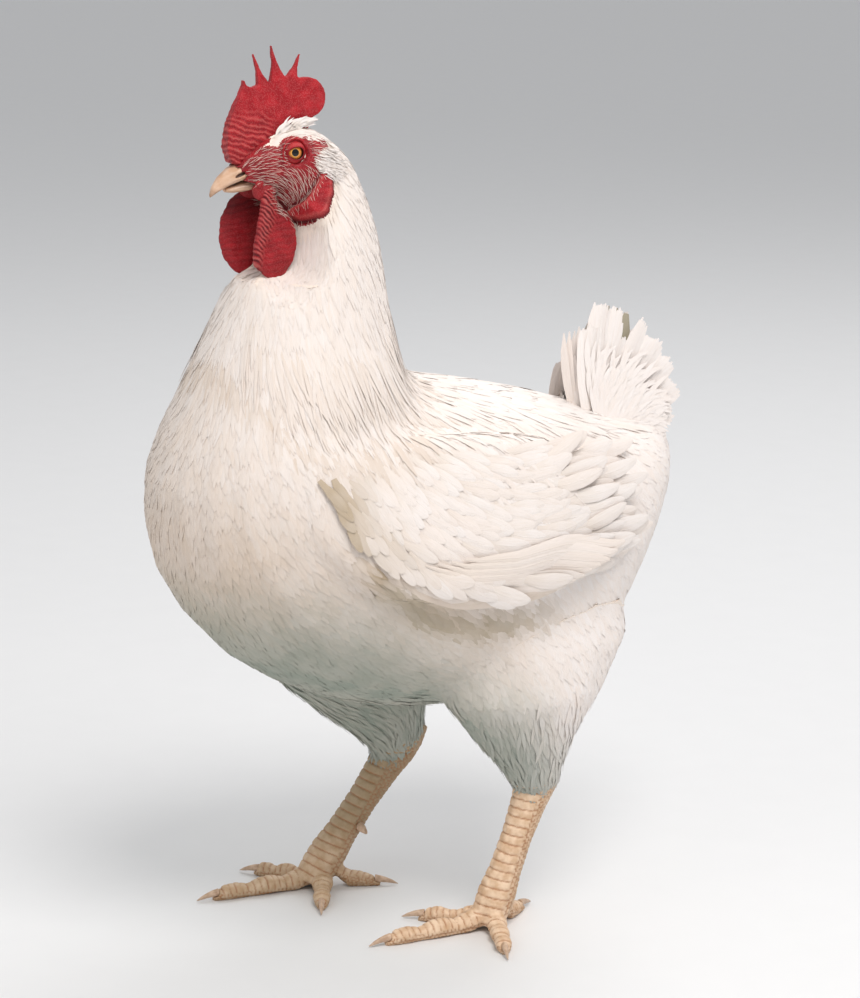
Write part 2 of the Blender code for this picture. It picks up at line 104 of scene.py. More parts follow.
class Value:
    """One socket of a material; a sum, difference or product on it adds the Math node."""

    def __init__(self, paint, socket):
        self.paint, self.socket = paint, socket

    def maths(operation):
        return lambda *values: values[0].paint.make(
            "ShaderNodeMath", {"operation": operation}, dict(enumerate(values)))

    __add__ = __radd__ = maths("ADD")
    __mul__ = __rmul__ = maths("MULTIPLY")
    __sub__, sine, size = maths("SUBTRACT"), maths("SINE"), maths("ABSOLUTE")

    def rise(self, low, high):
        """0 below low, 1 above high, smooth between; low may be the larger."""
        inputs = {"Value": self, "From Min": low, "From Max": high}
        return self.paint.make("ShaderNodeMapRange", {"interpolation_type": "SMOOTHSTEP"}, inputs)

    def band(self, middle, half):
        """1 at middle, fading to 0 at half away."""
        return (self - middle).size().rise(half, 0.0)


class Paint:
    """A material in the making."""

    def __init__(self, name):
        self.material = bpy.data.materials.new(name)
        self.material.use_nodes = True
        self.tree = self.material.node_tree
        self.tree.nodes.clear()

    def make(self, kind, settings, inputs, output=0):
        """Adds a node: its settings first, then the values or links of its sockets."""
        node = self.tree.nodes.new(kind)
        for name, value in settings.items():
            setattr(node, name, value)
        for name, value in inputs.items():
            socket = node.inputs[name]
            if isinstance(value, Value):
                self.tree.links.new(value.socket, socket)
            elif socket.type == "RGBA" and len(value) == 3:
                socket.default_value = (*value, 1)
            else:
                socket.default_value = value
        return Value(self, node.outputs[output]) if len(node.outputs) else None

    def place(self):
        return self.make("ShaderNodeTexCoord", {}, {}, "Object")

    def part(self, vector, axis):
        return self.make("ShaderNodeSeparateXYZ", {}, {0: vector}, axis)

    def whole(self, parts):
        return self.make("ShaderNodeCombineXYZ", {}, parts)

    def mark(self, name, output="Fac"):
        """What is kept on the mesh under that name."""
        return self.make("ShaderNodeAttribute", {"attribute_name": name}, {}, output)

    def noise(self, scale, detail=3.0, vector=None):
        inputs = {"Scale": scale, "Detail": detail, "Vector": vector or self.place()}
        return self.make("ShaderNodeTexNoise", {}, inputs)

    def cells(self, scale):
        inputs = {"Vector": self.place(), "Scale": scale}
        return self.make("ShaderNodeTexVoronoi", {}, inputs, "Distance")

    def layers(self, colour, *layers):
        """That colour with others over it in turn, each as its share and the colour."""
        settings = {"data_type": "RGBA", "blend_type": "MIX", "clamp_factor": True}
        for share, other in layers:
            colour = self.make("ShaderNodeMix", settings, {0: share, 6: colour, 7: other}, 2)
        return colour

    def finish(self, colour, roughness, relief=None, strength=0.0, depth=0.0, **more):
        """The shader, with its relief as bump; a socket name's spaces are written as _."""
        inputs = {"Base Color": colour, "Roughness": roughness}
        if relief is not None:
            bump = {"Height": relief, "Strength": strength, "Distance": depth}
            inputs["Normal"] = self.make("ShaderNodeBump", {}, bump)
        inputs.update({name.replace("_", " "): value for name, value in more.items()})
        shader = self.make("ShaderNodeBsdfPrincipled", {}, inputs)
        self.make("ShaderNodeOutputMaterial", {}, {"Surface": shader})
        return self.material


# ---- finishes

# TAN is the colour of ochre stain and of warm painted shade alike; the second colour is the
# grey-green of painted shade below.
TAN, PAINTED_SHADE = (0.50, 0.33, 0.165), (0.25, 0.30, 0.255)


def plumage_finish(name, root, light, cream):
    """White feather with fine barbs: its darker root is painted shade between overlapping feathers;
    its tan parts where marked are partly stain and partly painted shade, its dusky parts painted
    shade.
    """
    paint = Paint(name)
    vane = paint.mark("vane", "Vector")
    across, along, far = (paint.part(vane, axis) for axis in range(3))
    tone, stain, dusk = (paint.mark(mark) for mark in ("tone", "stain", "dusk"))
    strand = paint.whole({0: across * 2.6, 1: along * 1.4, 2: tone * 40})
    barbs = paint.noise(3.0, vector=strand)
    blotch = paint.noise(45.0).rise(0.40, 0.66)
    # The root colour stands for painted shade between overlapping feathers; the tan layer is partly
    # real stain and partly painted warm shade, and the last layer is painted shade.
    colour = paint.layers(root, (along.rise(0.05, 0.50), light), (tone * 0.6, cream),
                          (barbs.rise(0.60, 0.32) * 0.22, (0.78, 0.67, 0.56)),
                          (stain * (0.80 + 0.20 * blotch), TAN),
                          (dusk * (0.88 + 0.12 * blotch), PAINTED_SHADE))
    shaft = across.band(0.0, 0.10) * far
    slanted = ((along * 14.0 - across.size() * 2.0) * FULL_TURN).sine() * far
    relief = barbs + shaft * 0.9 + slanted * 0.10
    return paint.finish(colour, 0.72, relief, 0.30, 0.0006, Specular_IOR_Level=0.22)


def red_finish():
    """Comb, face, wattles and lobes: crimson with fine pale grains that are partly painted
    highlight, painted highlights on ridges, and dark creases of painted shade.
    """
    paint = Paint("red skin")
    warts = paint.cells(1300.0).rise(0.55, 0.15)
    patch = paint.noise(120.0, 4.0).rise(0.35, 0.7)
    # The grains' pale dots are partly painted highlight, the next layer is painted highlight on
    # ridges and rims, and the last is painted shade in creases, hollows and between bristles, with
    # the bare face and wattles darkened overall.
    colour = paint.layers((0.33, 0.006, 0.012), (patch, (0.47, 0.014, 0.022)),
                          (warts * 0.30, (0.78, 0.17, 0.17)),
                          (paint.mark("pale") * 0.55, (0.82, 0.26, 0.22)),
                          (paint.mark("fold"), (0.085, 0.003, 0.006)))
    return paint.finish(colour, 0.42, warts + patch * 0.6, 0.5, 0.0004, Specular_IOR_Level=0.30,
                        Subsurface_Weight=0.10, Subsurface_Scale=0.0015,
                        Subsurface_Radius=(1.0, 0.15, 0.10))


def down_skin_finish():
    """The skin under the coat, as pale as the feathers over it, with the coat's tan and painted
    shade where marked.
    """
    paint = Paint("skin under the coat")
    patch = paint.noise(90.0)
    # The last two layers are tan stain with warm painted shade, then painted shade.
    colour = paint.layers((0.88, 0.76, 0.65), (patch, (0.92, 0.83, 0.75)),
                          (paint.mark("stain") * 0.8, TAN), (paint.mark("dusk") * 0.95, PAINTED_SHADE))
    return paint.finish(colour, 0.8, patch, 0.3, 0.001)


def leg_finish():
    """Scaled shanks and toes: cream scutes with brown seams, and painted shade where marked, on the
    far leg and the legs' backs.
    """
    paint = Paint("leg skin")
    patch = paint.noise(160.0, 4.0)
    # The third layer is painted shade on the far leg and the legs' backs; the seams are the skin's
    # own.
    colour = paint.layers((0.66, 0.43, 0.26), (patch.rise(0.3, 0.7), (0.86, 0.64, 0.45)),
                          (paint.mark("dusk") * 0.75, (0.27, 0.20, 0.10)),
                          (paint.mark("seam"), (0.38, 0.14, 0.045)))
    return paint.finish(colour, 0.5, paint.cells(700.0) * 0.5 + patch, 0.35, 0.0005)


def beak_finish():
    """Beak: pale pinkish tan, browner along the ridge, and dark as painted shade in the nostril,
    low on the upper beak and on top of the lower beak.
    """
    paint = Paint("beak horn")
    drawn = paint.make("ShaderNodeVectorMath", {"operation": "MULTIPLY"},
                       {0: paint.place(), 1: (3.0, 1.0, 3.0)})
    streak = paint.noise(60.0, 4.0, drawn)
    # The last layer's dark is mostly painted shade, with some real brown along the upper beak's
    # ridge.
    colour = paint.layers((0.60, 0.36, 0.22), (streak.rise(0.3, 0.7), (0.76, 0.53, 0.38)),
                          (paint.mark("shade"), (0.10, 0.035, 0.02)))
    return paint.finish(colour, 0.34, streak, 0.2, 0.0004, Coat_Weight=0.15)


def claw_finish():
    """Claws and spurs: brown horn, greyer where it meets the floor."""
    paint = Paint("claw horn")
    streak = paint.noise(300.0)
    low = paint.part(paint.place(), 2).rise(0.006, 0.001)
    colour = paint.layers((0.48, 0.31, 0.20), (streak.rise(0.3, 0.7), (0.68, 0.49, 0.35)),
                          (low * 0.5, (0.42, 0.30, 0.22)))
    return paint.finish(colour, 0.38, streak, 0.2, 0.0003, Coat_Weight=0.1)


def eye_finish():
    """Orange iris with fine rays, dark rim and pupil, under a wet coat."""
    paint = Paint("eyeball")
    off = paint.mark("off_axis")
    rays = paint.noise(9.0, 4.0, paint.whole({0: paint.mark("turn"), 1: off * 0.6}))
    colour = paint.layers((0.42, 0.10, 0.012), (rays.rise(0.3, 0.7), (0.80, 0.30, 0.04)),
                          (off.rise(0.43, 0.31), (0.86, 0.42, 0.08)),
                          (off.rise(0.51, 0.61), (0.10, 0.02, 0.006)),
                          (off.rise(0.310, 0.292), (0.002, 0.002, 0.002)),
                          (off.rise(0.64, 0.70), (0.03, 0.01, 0.008)))
    return paint.finish(colour, 0.12, Specular_IOR_Level=0.25, Coat_Weight=0.5,
                        Coat_Roughness=0.02)


def floor_finish():
    paint = Paint("pale floor")
    fine = paint.noise(30.0, 2.0)
    return paint.finish(paint.layers((0.80, 0.80, 0.80), (fine, (0.82, 0.82, 0.82))), 0.6)


# ---- mesh helpers


def smooth(low, high, value):
    """0 below low and 1 above high with a soft change between, for arrays."""
    share = np.clip((value - low) / (high - low), 0, 1)
    return share * share * (3 - 2 * share)


def hump(value, width):
    """1 where the value is 0, falling off softly over that width on both sides."""
    return np.exp(-((value / width) ** 2))


def unit(vectors):
    return vectors / np.maximum(np.linalg.norm(vectors, axis=-1, keepdims=True), 1e-12)


def columns(*values):
    """Those values side by side along a new last axis, single numbers repeated to match."""
    return np.stack(np.broadcast_arrays(*values), -1)


def read(items, name, kind=np.float32, width=1):
    """One property of all the items, in rows of that width."""
    flat = np.empty(len(items) * width, kind)
    items.foreach_get(name, flat)
    return flat.reshape(-1, width) if width > 1 else flat


def points_of(mesh):
    return read(mesh.vertices, "co", width=3).astype(float)


def normals_of(mesh):
    return read(mesh.vertices, "normal", width=3).astype(float)


def shape_of(mesh):
    return points_of(mesh), normals_of(mesh)


def solid_points(node):
    return points_of(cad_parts[node].data)


def set_points(mesh, points):
    mesh.vertices.foreach_set("co", np.asarray(points, np.float32).ravel())
    mesh.update()


def set_marks(mesh, **marks):
    for name, values in marks.items():
        vector = np.ndim(values) == 2
        layer = mesh.attributes.new(name, "FLOAT_VECTOR" if vector else "FLOAT", "POINT")
        layer.data.foreach_set("vector" if vector else "value",
                               np.asarray(values, np.float32).ravel())


def mesh_object(name, points, faces):
    mesh = bpy.data.meshes.new(name)
    mesh.from_pydata(np.asarray(points, np.float32), [], faces)
    mesh.shade_smooth()
    return placed(name, mesh)


def ring_faces(rows, around):
    """The faces between rows of points that each close on themselves."""
    row, k = np.divmod(np.arange((rows - 1) * around), around)
    low, j = row * around, (k + 1) % around
    return columns(low + k, low + j, low + around + j, low + around + k)


def settled(obj):
    """The object with its modifiers worked into its mesh."""
    graph = bpy.context.evaluated_depsgraph_get()
    mesh = bpy.data.meshes.new_from_object(obj.evaluated_get(graph))
    old = obj.data
    obj.modifiers.clear()
    obj.data = mesh
    bpy.data.meshes.remove(old)
    return obj


def soften(obj, rounds):
    modifier = obj.modifiers.new("soften", "SMOOTH")
    modifier.factor = 0.5
    modifier.iterations = rounds
    return settled(obj)


def moulded(name, nodes, cell, rounds):
    """Those solids run together into one closed surface of small cells, then softened."""
    bm = bmesh.new()
    for node in nodes:
        bm.from_mesh(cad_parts[node].data)
    obj = placed(name, bpy.data.meshes.new(name))
    bm.to_mesh(obj.data)
    bm.free()
    remesh = obj.modifiers.new("cells", "REMESH")
    remesh.mode = "VOXEL"
    remesh.voxel_size = cell
    return soften(obj, rounds)


def joined(name, objects):
    """Several objects made one, with their marks and materials kept."""
    bpy.ops.object.select_all(action="DESELECT")
    for obj in objects:
        obj.select_set(True)
    bpy.context.view_layer.objects.active = objects[0]
    bpy.ops.object.join()
    objects[0].name = objects[0].data.name = name
    return objects[0]


def dress(obj, finish):
    obj.data.materials.append(finish)
    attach(obj, "root")


def ripple(points, scale, seed):
    """A smooth wavy number from -1 to 1 for each point, with waves about 1/scale long."""
    rng = np.random.default_rng(seed)
    total = np.zeros(len(points))
    for octave in range(3):
        for _ in range(6):
            wave = unit(rng.normal(size=3)) * scale * FULL_TURN * 1.7**octave
            total += np.sin(points @ wave + rng.uniform(0, FULL_TURN)) / 1.6**octave
    return total / 6.0


class Surface:
    """A surface to lay feathers on: the nearest point of it, its normal, and its outer side."""

    def __init__(self, mesh):
        mesh.calc_loop_triangles()
        self.points = points_of(mesh)
        self.faces = read(mesh.loop_triangles, "vertices", np.int32, 3)
        self.normals = unit(normals_of(mesh)[self.faces].sum(1))
        self.tree = BVHTree.FromPolygons(self.points.tolist(), self.faces.tolist())

    def nearest(self, points):
        found = [self.tree.find_nearest(point) for point in points.tolist()]
        return np.array([hit[0] for hit in found]), self.normals[[hit[2] for hit in found]]

    def from_side(self, y, z, side):
        """The outermost points at y, z as met from that side, and their normals."""
        found = np.full((len(y), 3), np.nan)
        index = np.zeros(len(y), int)
        for i in range(len(y)):
            place, _, face, _ = self.tree.ray_cast((side * 0.5, y[i], z[i]), (-side, 0, 0))
            if place is not None:
                found[i], index[i] = place, face
        return found, self.normals[index]

    def scattered(self, rng, count, keep):
        """Random points spread evenly over the faces, as thickly as keep says there."""
        corners = self.points[self.faces]
        first, second = corners[:, 1] - corners[:, 0], corners[:, 2] - corners[:, 0]
        area = np.linalg.norm(np.cross(first, second), axis=1) * keep(corners.mean(1))
        face = rng.choice(len(area), count, p=area / area.sum())
        a, b = rng.random((2, count, 1))
        flip = a + b > 1
        a, b = np.where(flip, 1 - a, a), np.where(flip, 1 - b, b)
        return corners[face, 0] + a * first[face] + b * second[face]


def spaced(points, spacing):
    """The points that keep their own spacing from the ones chosen before them."""
    cell = float(spacing.min())
    reach = math.ceil(float(spacing.max()) / cell)
    steps = list(itertools.product(range(-reach, reach + 1), repeat=3))
    places = points.tolist()
    taken, chosen = {}, []
    for n, (i, j, k) in enumerate(np.floor(points / cell).astype(int).tolist()):
        x, y, z = places[n]
        limit = spacing[n] ** 2
        near = (places[m] for a, b, c in steps for m in taken.get((i + a, j + b, k + c), ()))
        if all((x - a) ** 2 + (y - b) ** 2 + (z - c) ** 2 >= limit for a, b, c in near):
            taken.setdefault((i, j, k), []).append(n)
            chosen.append(n)
    return np.array(chosen)


# ---- the lie of the coat

# Each line: a place (out from the midline, y, z), the way feathers point there (outwards,
# back, up), their length and width in millimetres, and how far apart their roots are.
LIE = (
    ((0.006, -0.098, 0.556), (0.10, 1.0, 0.10), 9, 1.7, 1.7),
    ((0.017, -0.088, 0.545), (0.15, 1.0, -0.30), 9, 1.6, 1.6),
    ((0.010, -0.068, 0.535), (0.15, 0.8, -0.70), 16, 2.0, 2.0),
    ((0.026, -0.072, 0.510), (0.15, 0.35, -1.0), 20, 2.2, 2.2),
    ((0.010, -0.045, 0.500), (0.15, 0.30, -1.0), 30, 2.6, 2.5),
    ((0.015, -0.034, 0.460), (0.25, 0.25, -1.0), 50, 3.0, 3.0),
    ((0.030, -0.028, 0.410), (0.35, 0.60, -0.9), 52, 3.4, 3.4),
    ((0.034, -0.090, 0.480), (0.10, 0.10, -1.0), 30, 2.4, 2.4),
    ((0.052, -0.090, 0.440), (0.25, 0.10, -1.0), 52, 3.0, 3.0),
    ((0.070, -0.100, 0.390), (0.25, 0.15, -1.0), 48, 3.3, 3.2),
    ((0.006, -0.112, 0.485), (0.05, -0.25, -1.0), 13, 1.8, 2.0),
    ((0.010, -0.140, 0.455), (0.20, -0.15, -1.0), 30, 2.4, 2.4),
    ((0.015, -0.170, 0.415), (0.20, -0.05, -1.0), 36, 3.0, 3.0),
    ((0.010, -0.190, 0.350), (0.10, 0.05, -1.0), 22, 4.2, 3.6),
    ((0.010, -0.185, 0.270), (0.10, 0.45, -1.0), 20, 4.4, 3.6),
    ((0.075, -0.140, 0.330), (0.15, 0.35, -1.0), 22, 4.2, 3.6),
    ((0.080, -0.110, 0.240), (0.05, 0.80, -0.7), 22, 4.4, 3.6),
    ((0.010, -0.140, 0.200), (0.05, 1.0, -0.6), 22, 4.6, 3.8),
    ((0.010, -0.020, 0.158), (0.05, 1.0, -0.05), 23, 5.4, 3.8),
    ((0.080, 0.030, 0.220), (0.05, 0.80, -0.6), 24, 5.2, 3.7),
    ((0.015, 0.090, 0.190), (0.05, 0.90, -0.3), 27, 5.2, 3.8),
    ((0.020, 0.000, 0.385), (0.35, 1.0, -0.3), 40, 6.2, 3.9),
    ((0.075, 0.010, 0.355), (0.40, 0.70, -0.8), 40, 6.2, 3.9),
    ((0.025, 0.080, 0.365), (0.35, 1.0, -0.3), 44, 6.0, 4.0),
    ((0.080, 0.080, 0.310), (0.10, 0.75, -0.75), 44, 6.0, 4.0),
    ((0.015, 0.130, 0.352), (0.20, 1.0, 0.05), 36, 5.8, 3.9),
    ((0.055, 0.145, 0.290), (0.05, 0.70, -0.75), 36, 5.6, 3.9),
    ((0.015, 0.188, 0.290), (0.10, 0.50, -1.0), 32, 5.2, 3.7),
    ((0.040, 0.150, 0.220), (0.05, 0.45, -1.0), 28, 5.0, 3.6),
    ((0.090, 0.050, 0.190), (0.05, 0.30, -1.0), 22, 3.6, 3.4),
    ((0.065, 0.045, 0.130), (-0.10, 0.25, -1.0), 15, 2.8, 2.8),
)
LIE_REACH = 0.030

LIE_PLACE = np.array([row[0] for row in LIE])
LIE_WAY = unit(np.array([row[1] for row in LIE]))
LIE_SIZES = np.array([row[2:] for row in LIE]) / 1000


def lie_weights(points):
    folded = points - np.array((MID, 0, 0))
    side = np.where(folded[:, 0] < 0, -1.0, 1.0)
    folded[:, 0] = np.abs(folded[:, 0])
    gap = ((folded[:, None, :] - LIE_PLACE[None]) ** 2).sum(2)
    weight = np.exp(-(gap - gap.min(1, keepdims=True)) / (2 * LIE_REACH**2))
    return weight / weight.sum(1, keepdims=True), side, folded[:, 0]


def lie_of(points):
    """Which way the feathers point there. Close to the midline they don't part."""
    weight, side, out = lie_weights(points)
    way = weight @ LIE_WAY
    way[:, 0] *= side * smooth(0.0, 0.012, out)
    return unit(way)


def sizes_of(points):
    """Length, width and spacing of the feathers there."""
    return lie_weights(points)[0] @ LIE_SIZES


# The line the body is unwrapped along, from the comb to the tail, as (y, z).
SPINE = np.array(((-0.125, 0.575), (-0.105, 0.520), (-0.085, 0.470), (-0.095, 0.410),
                  (-0.085, 0.330), (-0.020, 0.275), (0.060, 0.265), (0.130, 0.270),
                  (0.195, 0.330)))
SPINE_STEPS = 160


def unwrapped(points):
    """Places on an unwrap of the skin: along the spine, and round it."""
    steps = np.linspace(0, len(SPINE) - 1, SPINE_STEPS)
    line = np.stack([np.interp(steps, range(len(SPINE)), SPINE[:, k]) for k in (0, 1)], 1)
    ahead = unit(np.gradient(line, axis=0))
    gap = ((points[:, None, 1:] - line[None]) ** 2).sum(2)
    near = gap.argmin(1)
    off = points[:, 1:] - line[near]
    height = ahead[near, 0] * off[:, 1] - ahead[near, 1] * off[:, 0]
    turn = np.arctan2(points[:, 0] - MID, height + 1e-9)
    slip = (off * ahead[near]).sum(1)
    along = near / (SPINE_STEPS - 1) + slip * 0.6
    return columns(0.05 + 0.88 * np.clip(along, 0, 1), 0.5 + turn / FULL_TURN * 0.94)


# ---- feathers

PATCH = 0.003
MOST_TRIANGLES, ROW_TRIANGLES, END_TRIANGLES = 195000, 8, 4


class Coat:
    """Feathers gathered for one piece, each a thin closed vane along its own line."""

    def __init__(self):
        self.kept = {}
        self.count = 0

    def keep(self, **values):
        for name, value in values.items():
            self.kept.setdefault(name, []).append(value)

    def add(self, line, normal, half_width, ridge, thick, soft=0.7, tone=0.5, stain=0.0, dusk=0.0,
            crown=0.25, far=0.0, steps=(-1, 0, 1)):
        """line and normal are (feathers, rows, 3), half_width is (feathers, rows). ridge is how
        far a vane's middle stands off its line, soft how much it is shaded as the body is,
        crown how much it arches, far how clear its barbs are and steps the places across."""
        feathers, rows, _ = line.shape
        ahead = unit(np.gradient(line, axis=1))
        across = unit(np.cross(ahead, normal))
        normal = unit(np.cross(across, ahead))
        ring = [line + across * (step * half_width)[..., None]
                + normal * (ridge - crown * abs(step) ** 2 * half_width)[..., None]
                for step in steps]
        ring.append(line + normal * (ridge - crown * 0.6 * half_width - thick)[..., None])
        size = len(ring)
        shape = (feathers, rows, size)
        grid = self.count + np.arange(feathers * rows * size).reshape(shape)
        self.count += grid.size
        following = np.roll(grid, -1, axis=2)
        walls = columns(grid[:, :-1], grid[:, 1:], following[:, 1:], following[:, :-1])
        inner = np.zeros(walls.shape[:3], bool)
        inner[:, :, -2:] = True
        self.keep(faces=walls.reshape(-1, 4), inner=inner.ravel())
        for end, order in ((0, 1), (-1, -1)):
            for k in range(1, size - 2, 2):
                cap = grid[:, end, [0, k, k + 1, min(k + 2, size - 1)]]
                self.keep(faces=cap[:, ::order], inner=np.zeros(feathers, bool))
        lean = np.stack([normal + across * (0.75 * step) for step in steps] + [normal], 2)
        side = np.ones(shape) * (*steps, 0.0)
        along = np.ones(shape) * np.linspace(0, 1, rows)[:, None]
        root = unwrapped(line[:, 0])[:, None, None]
        patch = columns(side * 0.5, along - 0.5) * PATCH
        self.keep(points=np.stack(ring, 2).reshape(-1, 3),
                  normals=unit(lean * (1 - soft) + normal[:, :, None] * soft).reshape(-1, 3),
                  vane=columns(side, along, far).reshape(-1, 3),
                  unwrap=(root + patch).reshape(-1, 2))
        # Each feather's marks: its tone, its tan (stain and warm painted shade) and its painted
        # shade.
        for mark, value in (("tone", tone), ("stain", stain), ("dusk", dusk)):
            self.keep(**{mark: (np.ones(shape) * np.reshape(value, (-1, 1, 1))).ravel()})

    def piece(self, name, finish="plumage"):
        kept = {name: np.concatenate(values) for name, values in self.kept.items()}
        obj = mesh_object(name, kept["points"], kept["faces"][:, ::-1])
        mesh = obj.data
        set_marks(mesh, **{mark: kept[mark] for mark in ("tone", "stain", "dusk", "vane")})
        corners = read(mesh.loops, "vertex_index", np.int32)
        unwrap = kept["unwrap"][corners].astype(np.float32)
        mesh.uv_layers.new(name="OFBake").uv.foreach_set("vector", unwrap.ravel())
        outer = kept["normals"][corners]
        inner = np.repeat(kept["inner"], 4)[:, None]
        mesh.normals_split_custom_set(np.where(inner, -outer, outer).tolist())
        dress(obj, FINISH[finish])


def vane_widths(stations, full=0.5, root=0.35, tip=0.12):
    """A vane's width along it, widest at full, as shares of its full half width."""
    grow = root + (1 - root) * smooth(0, full, stations)
    fall = tip + (1 - tip) * (1 - np.clip((stations - full) / (1 - full), 0, 1) ** 2.2)
    return np.minimum(grow, fall)


def round_widths(stations, full=0.55):
    """A broad vane with a round end."""
    grow = 0.45 + 0.55 * smooth(0, full, stations)
    end = np.sqrt(np.clip(1 - (np.clip(stations - full, 0, 1) / (1 - full)) ** 1.9, 0.02, 1))
    return np.minimum(grow, end)


def traced(surface, roots, lengths, rows, way, jitter):
    """Lines over the surface from the roots, following way, and the normals under them."""
    place, normal = surface.nearest(roots)
    line, normals = [place], [normal]
    for _ in range(rows - 1):
        ahead = unit(way(place) + jitter)
        ahead = unit(ahead - normal * (ahead * normal).sum(1, keepdims=True))
        place, normal = surface.nearest(place + ahead * (lengths / (rows - 1))[:, None])
        line.append(place)
        normals.append(normal)
    return np.stack(line, 1), np.stack(normals, 1)


def unmarked(points):
    return np.zeros(len(points))


def grow_coat(name, surface, keep, tries, rows, lift, soft, jitter, sizes=sizes_of, broad=1.0,
              shrink=1.0, sink=0.8, thick=0.00016, way=lie_of, stain=unmarked, dusk=unmarked,
              finish="plumage"):
    """Feathers over the part of the surface that keep chooses, in pieces of at most MOST_TRIANGLES
    triangles.
    """
    roots = surface.scattered(rng, tries, keep)
    length, width, gap = (sizes(roots) * (1.0, broad, 1.0)).T
    chosen = spaced(roots, gap * shrink)
    roots, length, width = roots[chosen], length[chosen], width[chosen]
    count = len(roots)
    length = length * rng.uniform(0.80, 1.18, count)
    line, normal = traced(surface, roots, length, rows, way, rng.normal(0, jitter, (count, 3)))
    t = np.linspace(0, 1, rows)
    height = -sink * coat_depth(roots)[:, None] * (1 - t**0.32)
    height = height + lift * t * rng.uniform(0, 1.4, (count, 1))
    half = vane_widths(t) * (width / 2 * rng.uniform(0.85, 1.15, count))[:, None]
    tone = rng.random(count)
    order = np.argsort(unwrapped(roots)[:, 0])
    parts = math.ceil(count / (MOST_TRIANGLES // ((rows - 1) * ROW_TRIANGLES + END_TRIANGLES)))
    for part in range(parts):
        pick = order[part * count // parts:(part + 1) * count // parts]
        coat = Coat()
        coat.add(line[pick], normal[pick], half[pick], height[pick], thick, soft, tone[pick],
                 stain(roots[pick]), dusk(roots[pick]), 0.10)
        coat.piece(f"{name}_{part + 1}", finish)


# ---- the forms of the head

# The bare face: round patches as offsets (back, up) from the eye's centre, and their radii.
FACE_PATCHES = ((0.000, -0.0015, 0.0120), (0.010, -0.0010, 0.0112), (0.004, -0.016, 0.0155),
                (0.004, -0.032, 0.0100), (0.002, -0.041, 0.0075), (-0.016, -0.0065, 0.0115),
                (-0.026, -0.0105, 0.0098), (-0.016, -0.0150, 0.0105), (-0.034, -0.0160, 0.0100),
                (-0.036, -0.0060, 0.0080), (0.018, 0.0030, 0.0062), (-0.0100, -0.0285, 0.0100))
# The long ear lobe: its middle line (back, up) from the eye's centre, and its radii.
LOBE_LINE = np.array(((0.0170, -0.0160, 0.0048), (0.0145, -0.0240, 0.0064),
                      (0.0095, -0.0335, 0.0070), (0.0030, -0.0400, 0.0052),
                      (-0.0010, -0.0425, 0.0030)))
# The comb's foot, as (back, up) from the eye's centre: white crown feathers start below it.
COMB_LINE = ((-0.050, -0.027, -0.0186, -0.0142, -0.0084, -0.0026, 0.0089, 0.0176, 0.0400),
             (-0.004, -0.0015, 0.0004, 0.0078, 0.0151, 0.0193, 0.0218, 0.0200, 0.0120))
# The near wattle's front and rear edges by height; the far one hangs further forward.
WATTLE_Z = (0.4505, 0.4525, 0.4600, 0.4726, 0.4852, 0.4945, 0.5040, 0.5120)
WATTLE_FRONT = (-0.1230, -0.1290, -0.1335, -0.1315, -0.1285, -0.1270, -0.1262, -0.1285)
WATTLE_REAR = (-0.1170, -0.1090, -0.1045, -0.1010, -0.1010, -0.1045, -0.1120, -0.1180)
# How far forward the neck's front may come between and behind the wattles, by height.
THROAT_Z = (0.410, 0.440, 0.4505, 0.4590, 0.4700, 0.5000, 0.5100, 0.5180, 0.530)
THROAT_FRONT = (-0.240, -0.165, -0.1360, -0.1160, -0.1120, -0.1110, -0.1160, -0.1400, -0.200)
LID_OPENING, LID_EDGE = 0.00426, 0.0100


def out_of(points):
    """How far from the midline each point lies."""
    return np.abs(points[:, 0] - MID)


def from_eye(points):
    """How far back and up from the eye's centre each point lies."""
    return points[:, 1] - EYE[1], points[:, 2] - EYE[2]


def patch_depth(patches, back, up):
    """How far inside any of the round patches a place lies; below 0 outside them."""
    return np.max([np.full(np.shape(back), -1.0)]
                  + [radius - np.hypot(back - y, up - z) for y, z, radius in patches], 0)


def lobe_depth(points):
    """How far inside the long ear lobe a point lies."""
    steps = np.linspace(0, len(LOBE_LINE) - 1, 33)
    line = np.stack([np.interp(steps, range(len(LOBE_LINE)), row) for row in LOBE_LINE.T], 1)
    return patch_depth(line, *from_eye(points))


def face_depth(points):
    """How far inside the bare face a point lies, in metres; below 0 outside it."""
    return np.maximum(patch_depth(FACE_PATCHES, *from_eye(points)), lobe_depth(points) + 0.0004)


def coat_depth(points):
    """How deep under the coat's outline the skin lies."""
    thick = 0.0009 + 0.0001 * smooth(0.42, 0.53, points[:, 2])
    return thick * smooth(0.002, -0.004, face_depth(points))


def comb_height(points):
    """How far above the comb's foot a point lies."""
    back, up = from_eye(points)
    return up - np.interp(back, *COMB_LINE)


def wattle_depth(points):
    """How far inside a hanging wattle's outline, seen from the side, a point lies."""
    x, y, z = points.T
    low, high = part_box("wattle_left")
    front = np.where(x > MID, np.interp(z, WATTLE_Z, WATTLE_FRONT), low.y)
    rear = np.where(x > MID, np.interp(z, WATTLE_Z, WATTLE_REAR), high.y)
    return np.minimum(np.minimum(y - front, rear - y), 0.510 - z)


def tucked(points):
    """The neck gives way behind the wattles, so that they hang free over the feathers."""
    x, y, z = points.T
    out = out_of(points)
    under = smooth(-0.014, 0.001, wattle_depth(points)) * smooth(0.515, 0.505, z)
    under = under * smooth(0.438, 0.462, z)
    x = MID + np.sign(x - MID) * (out + (np.minimum(out, 0.0085) - out) * under)
    between = smooth(0.030, 0.020, out)
    y = y + np.maximum(np.interp(z, THROAT_Z, THROAT_FRONT) - y, 0) * between
    return columns(x, y, z)


# ---- skin

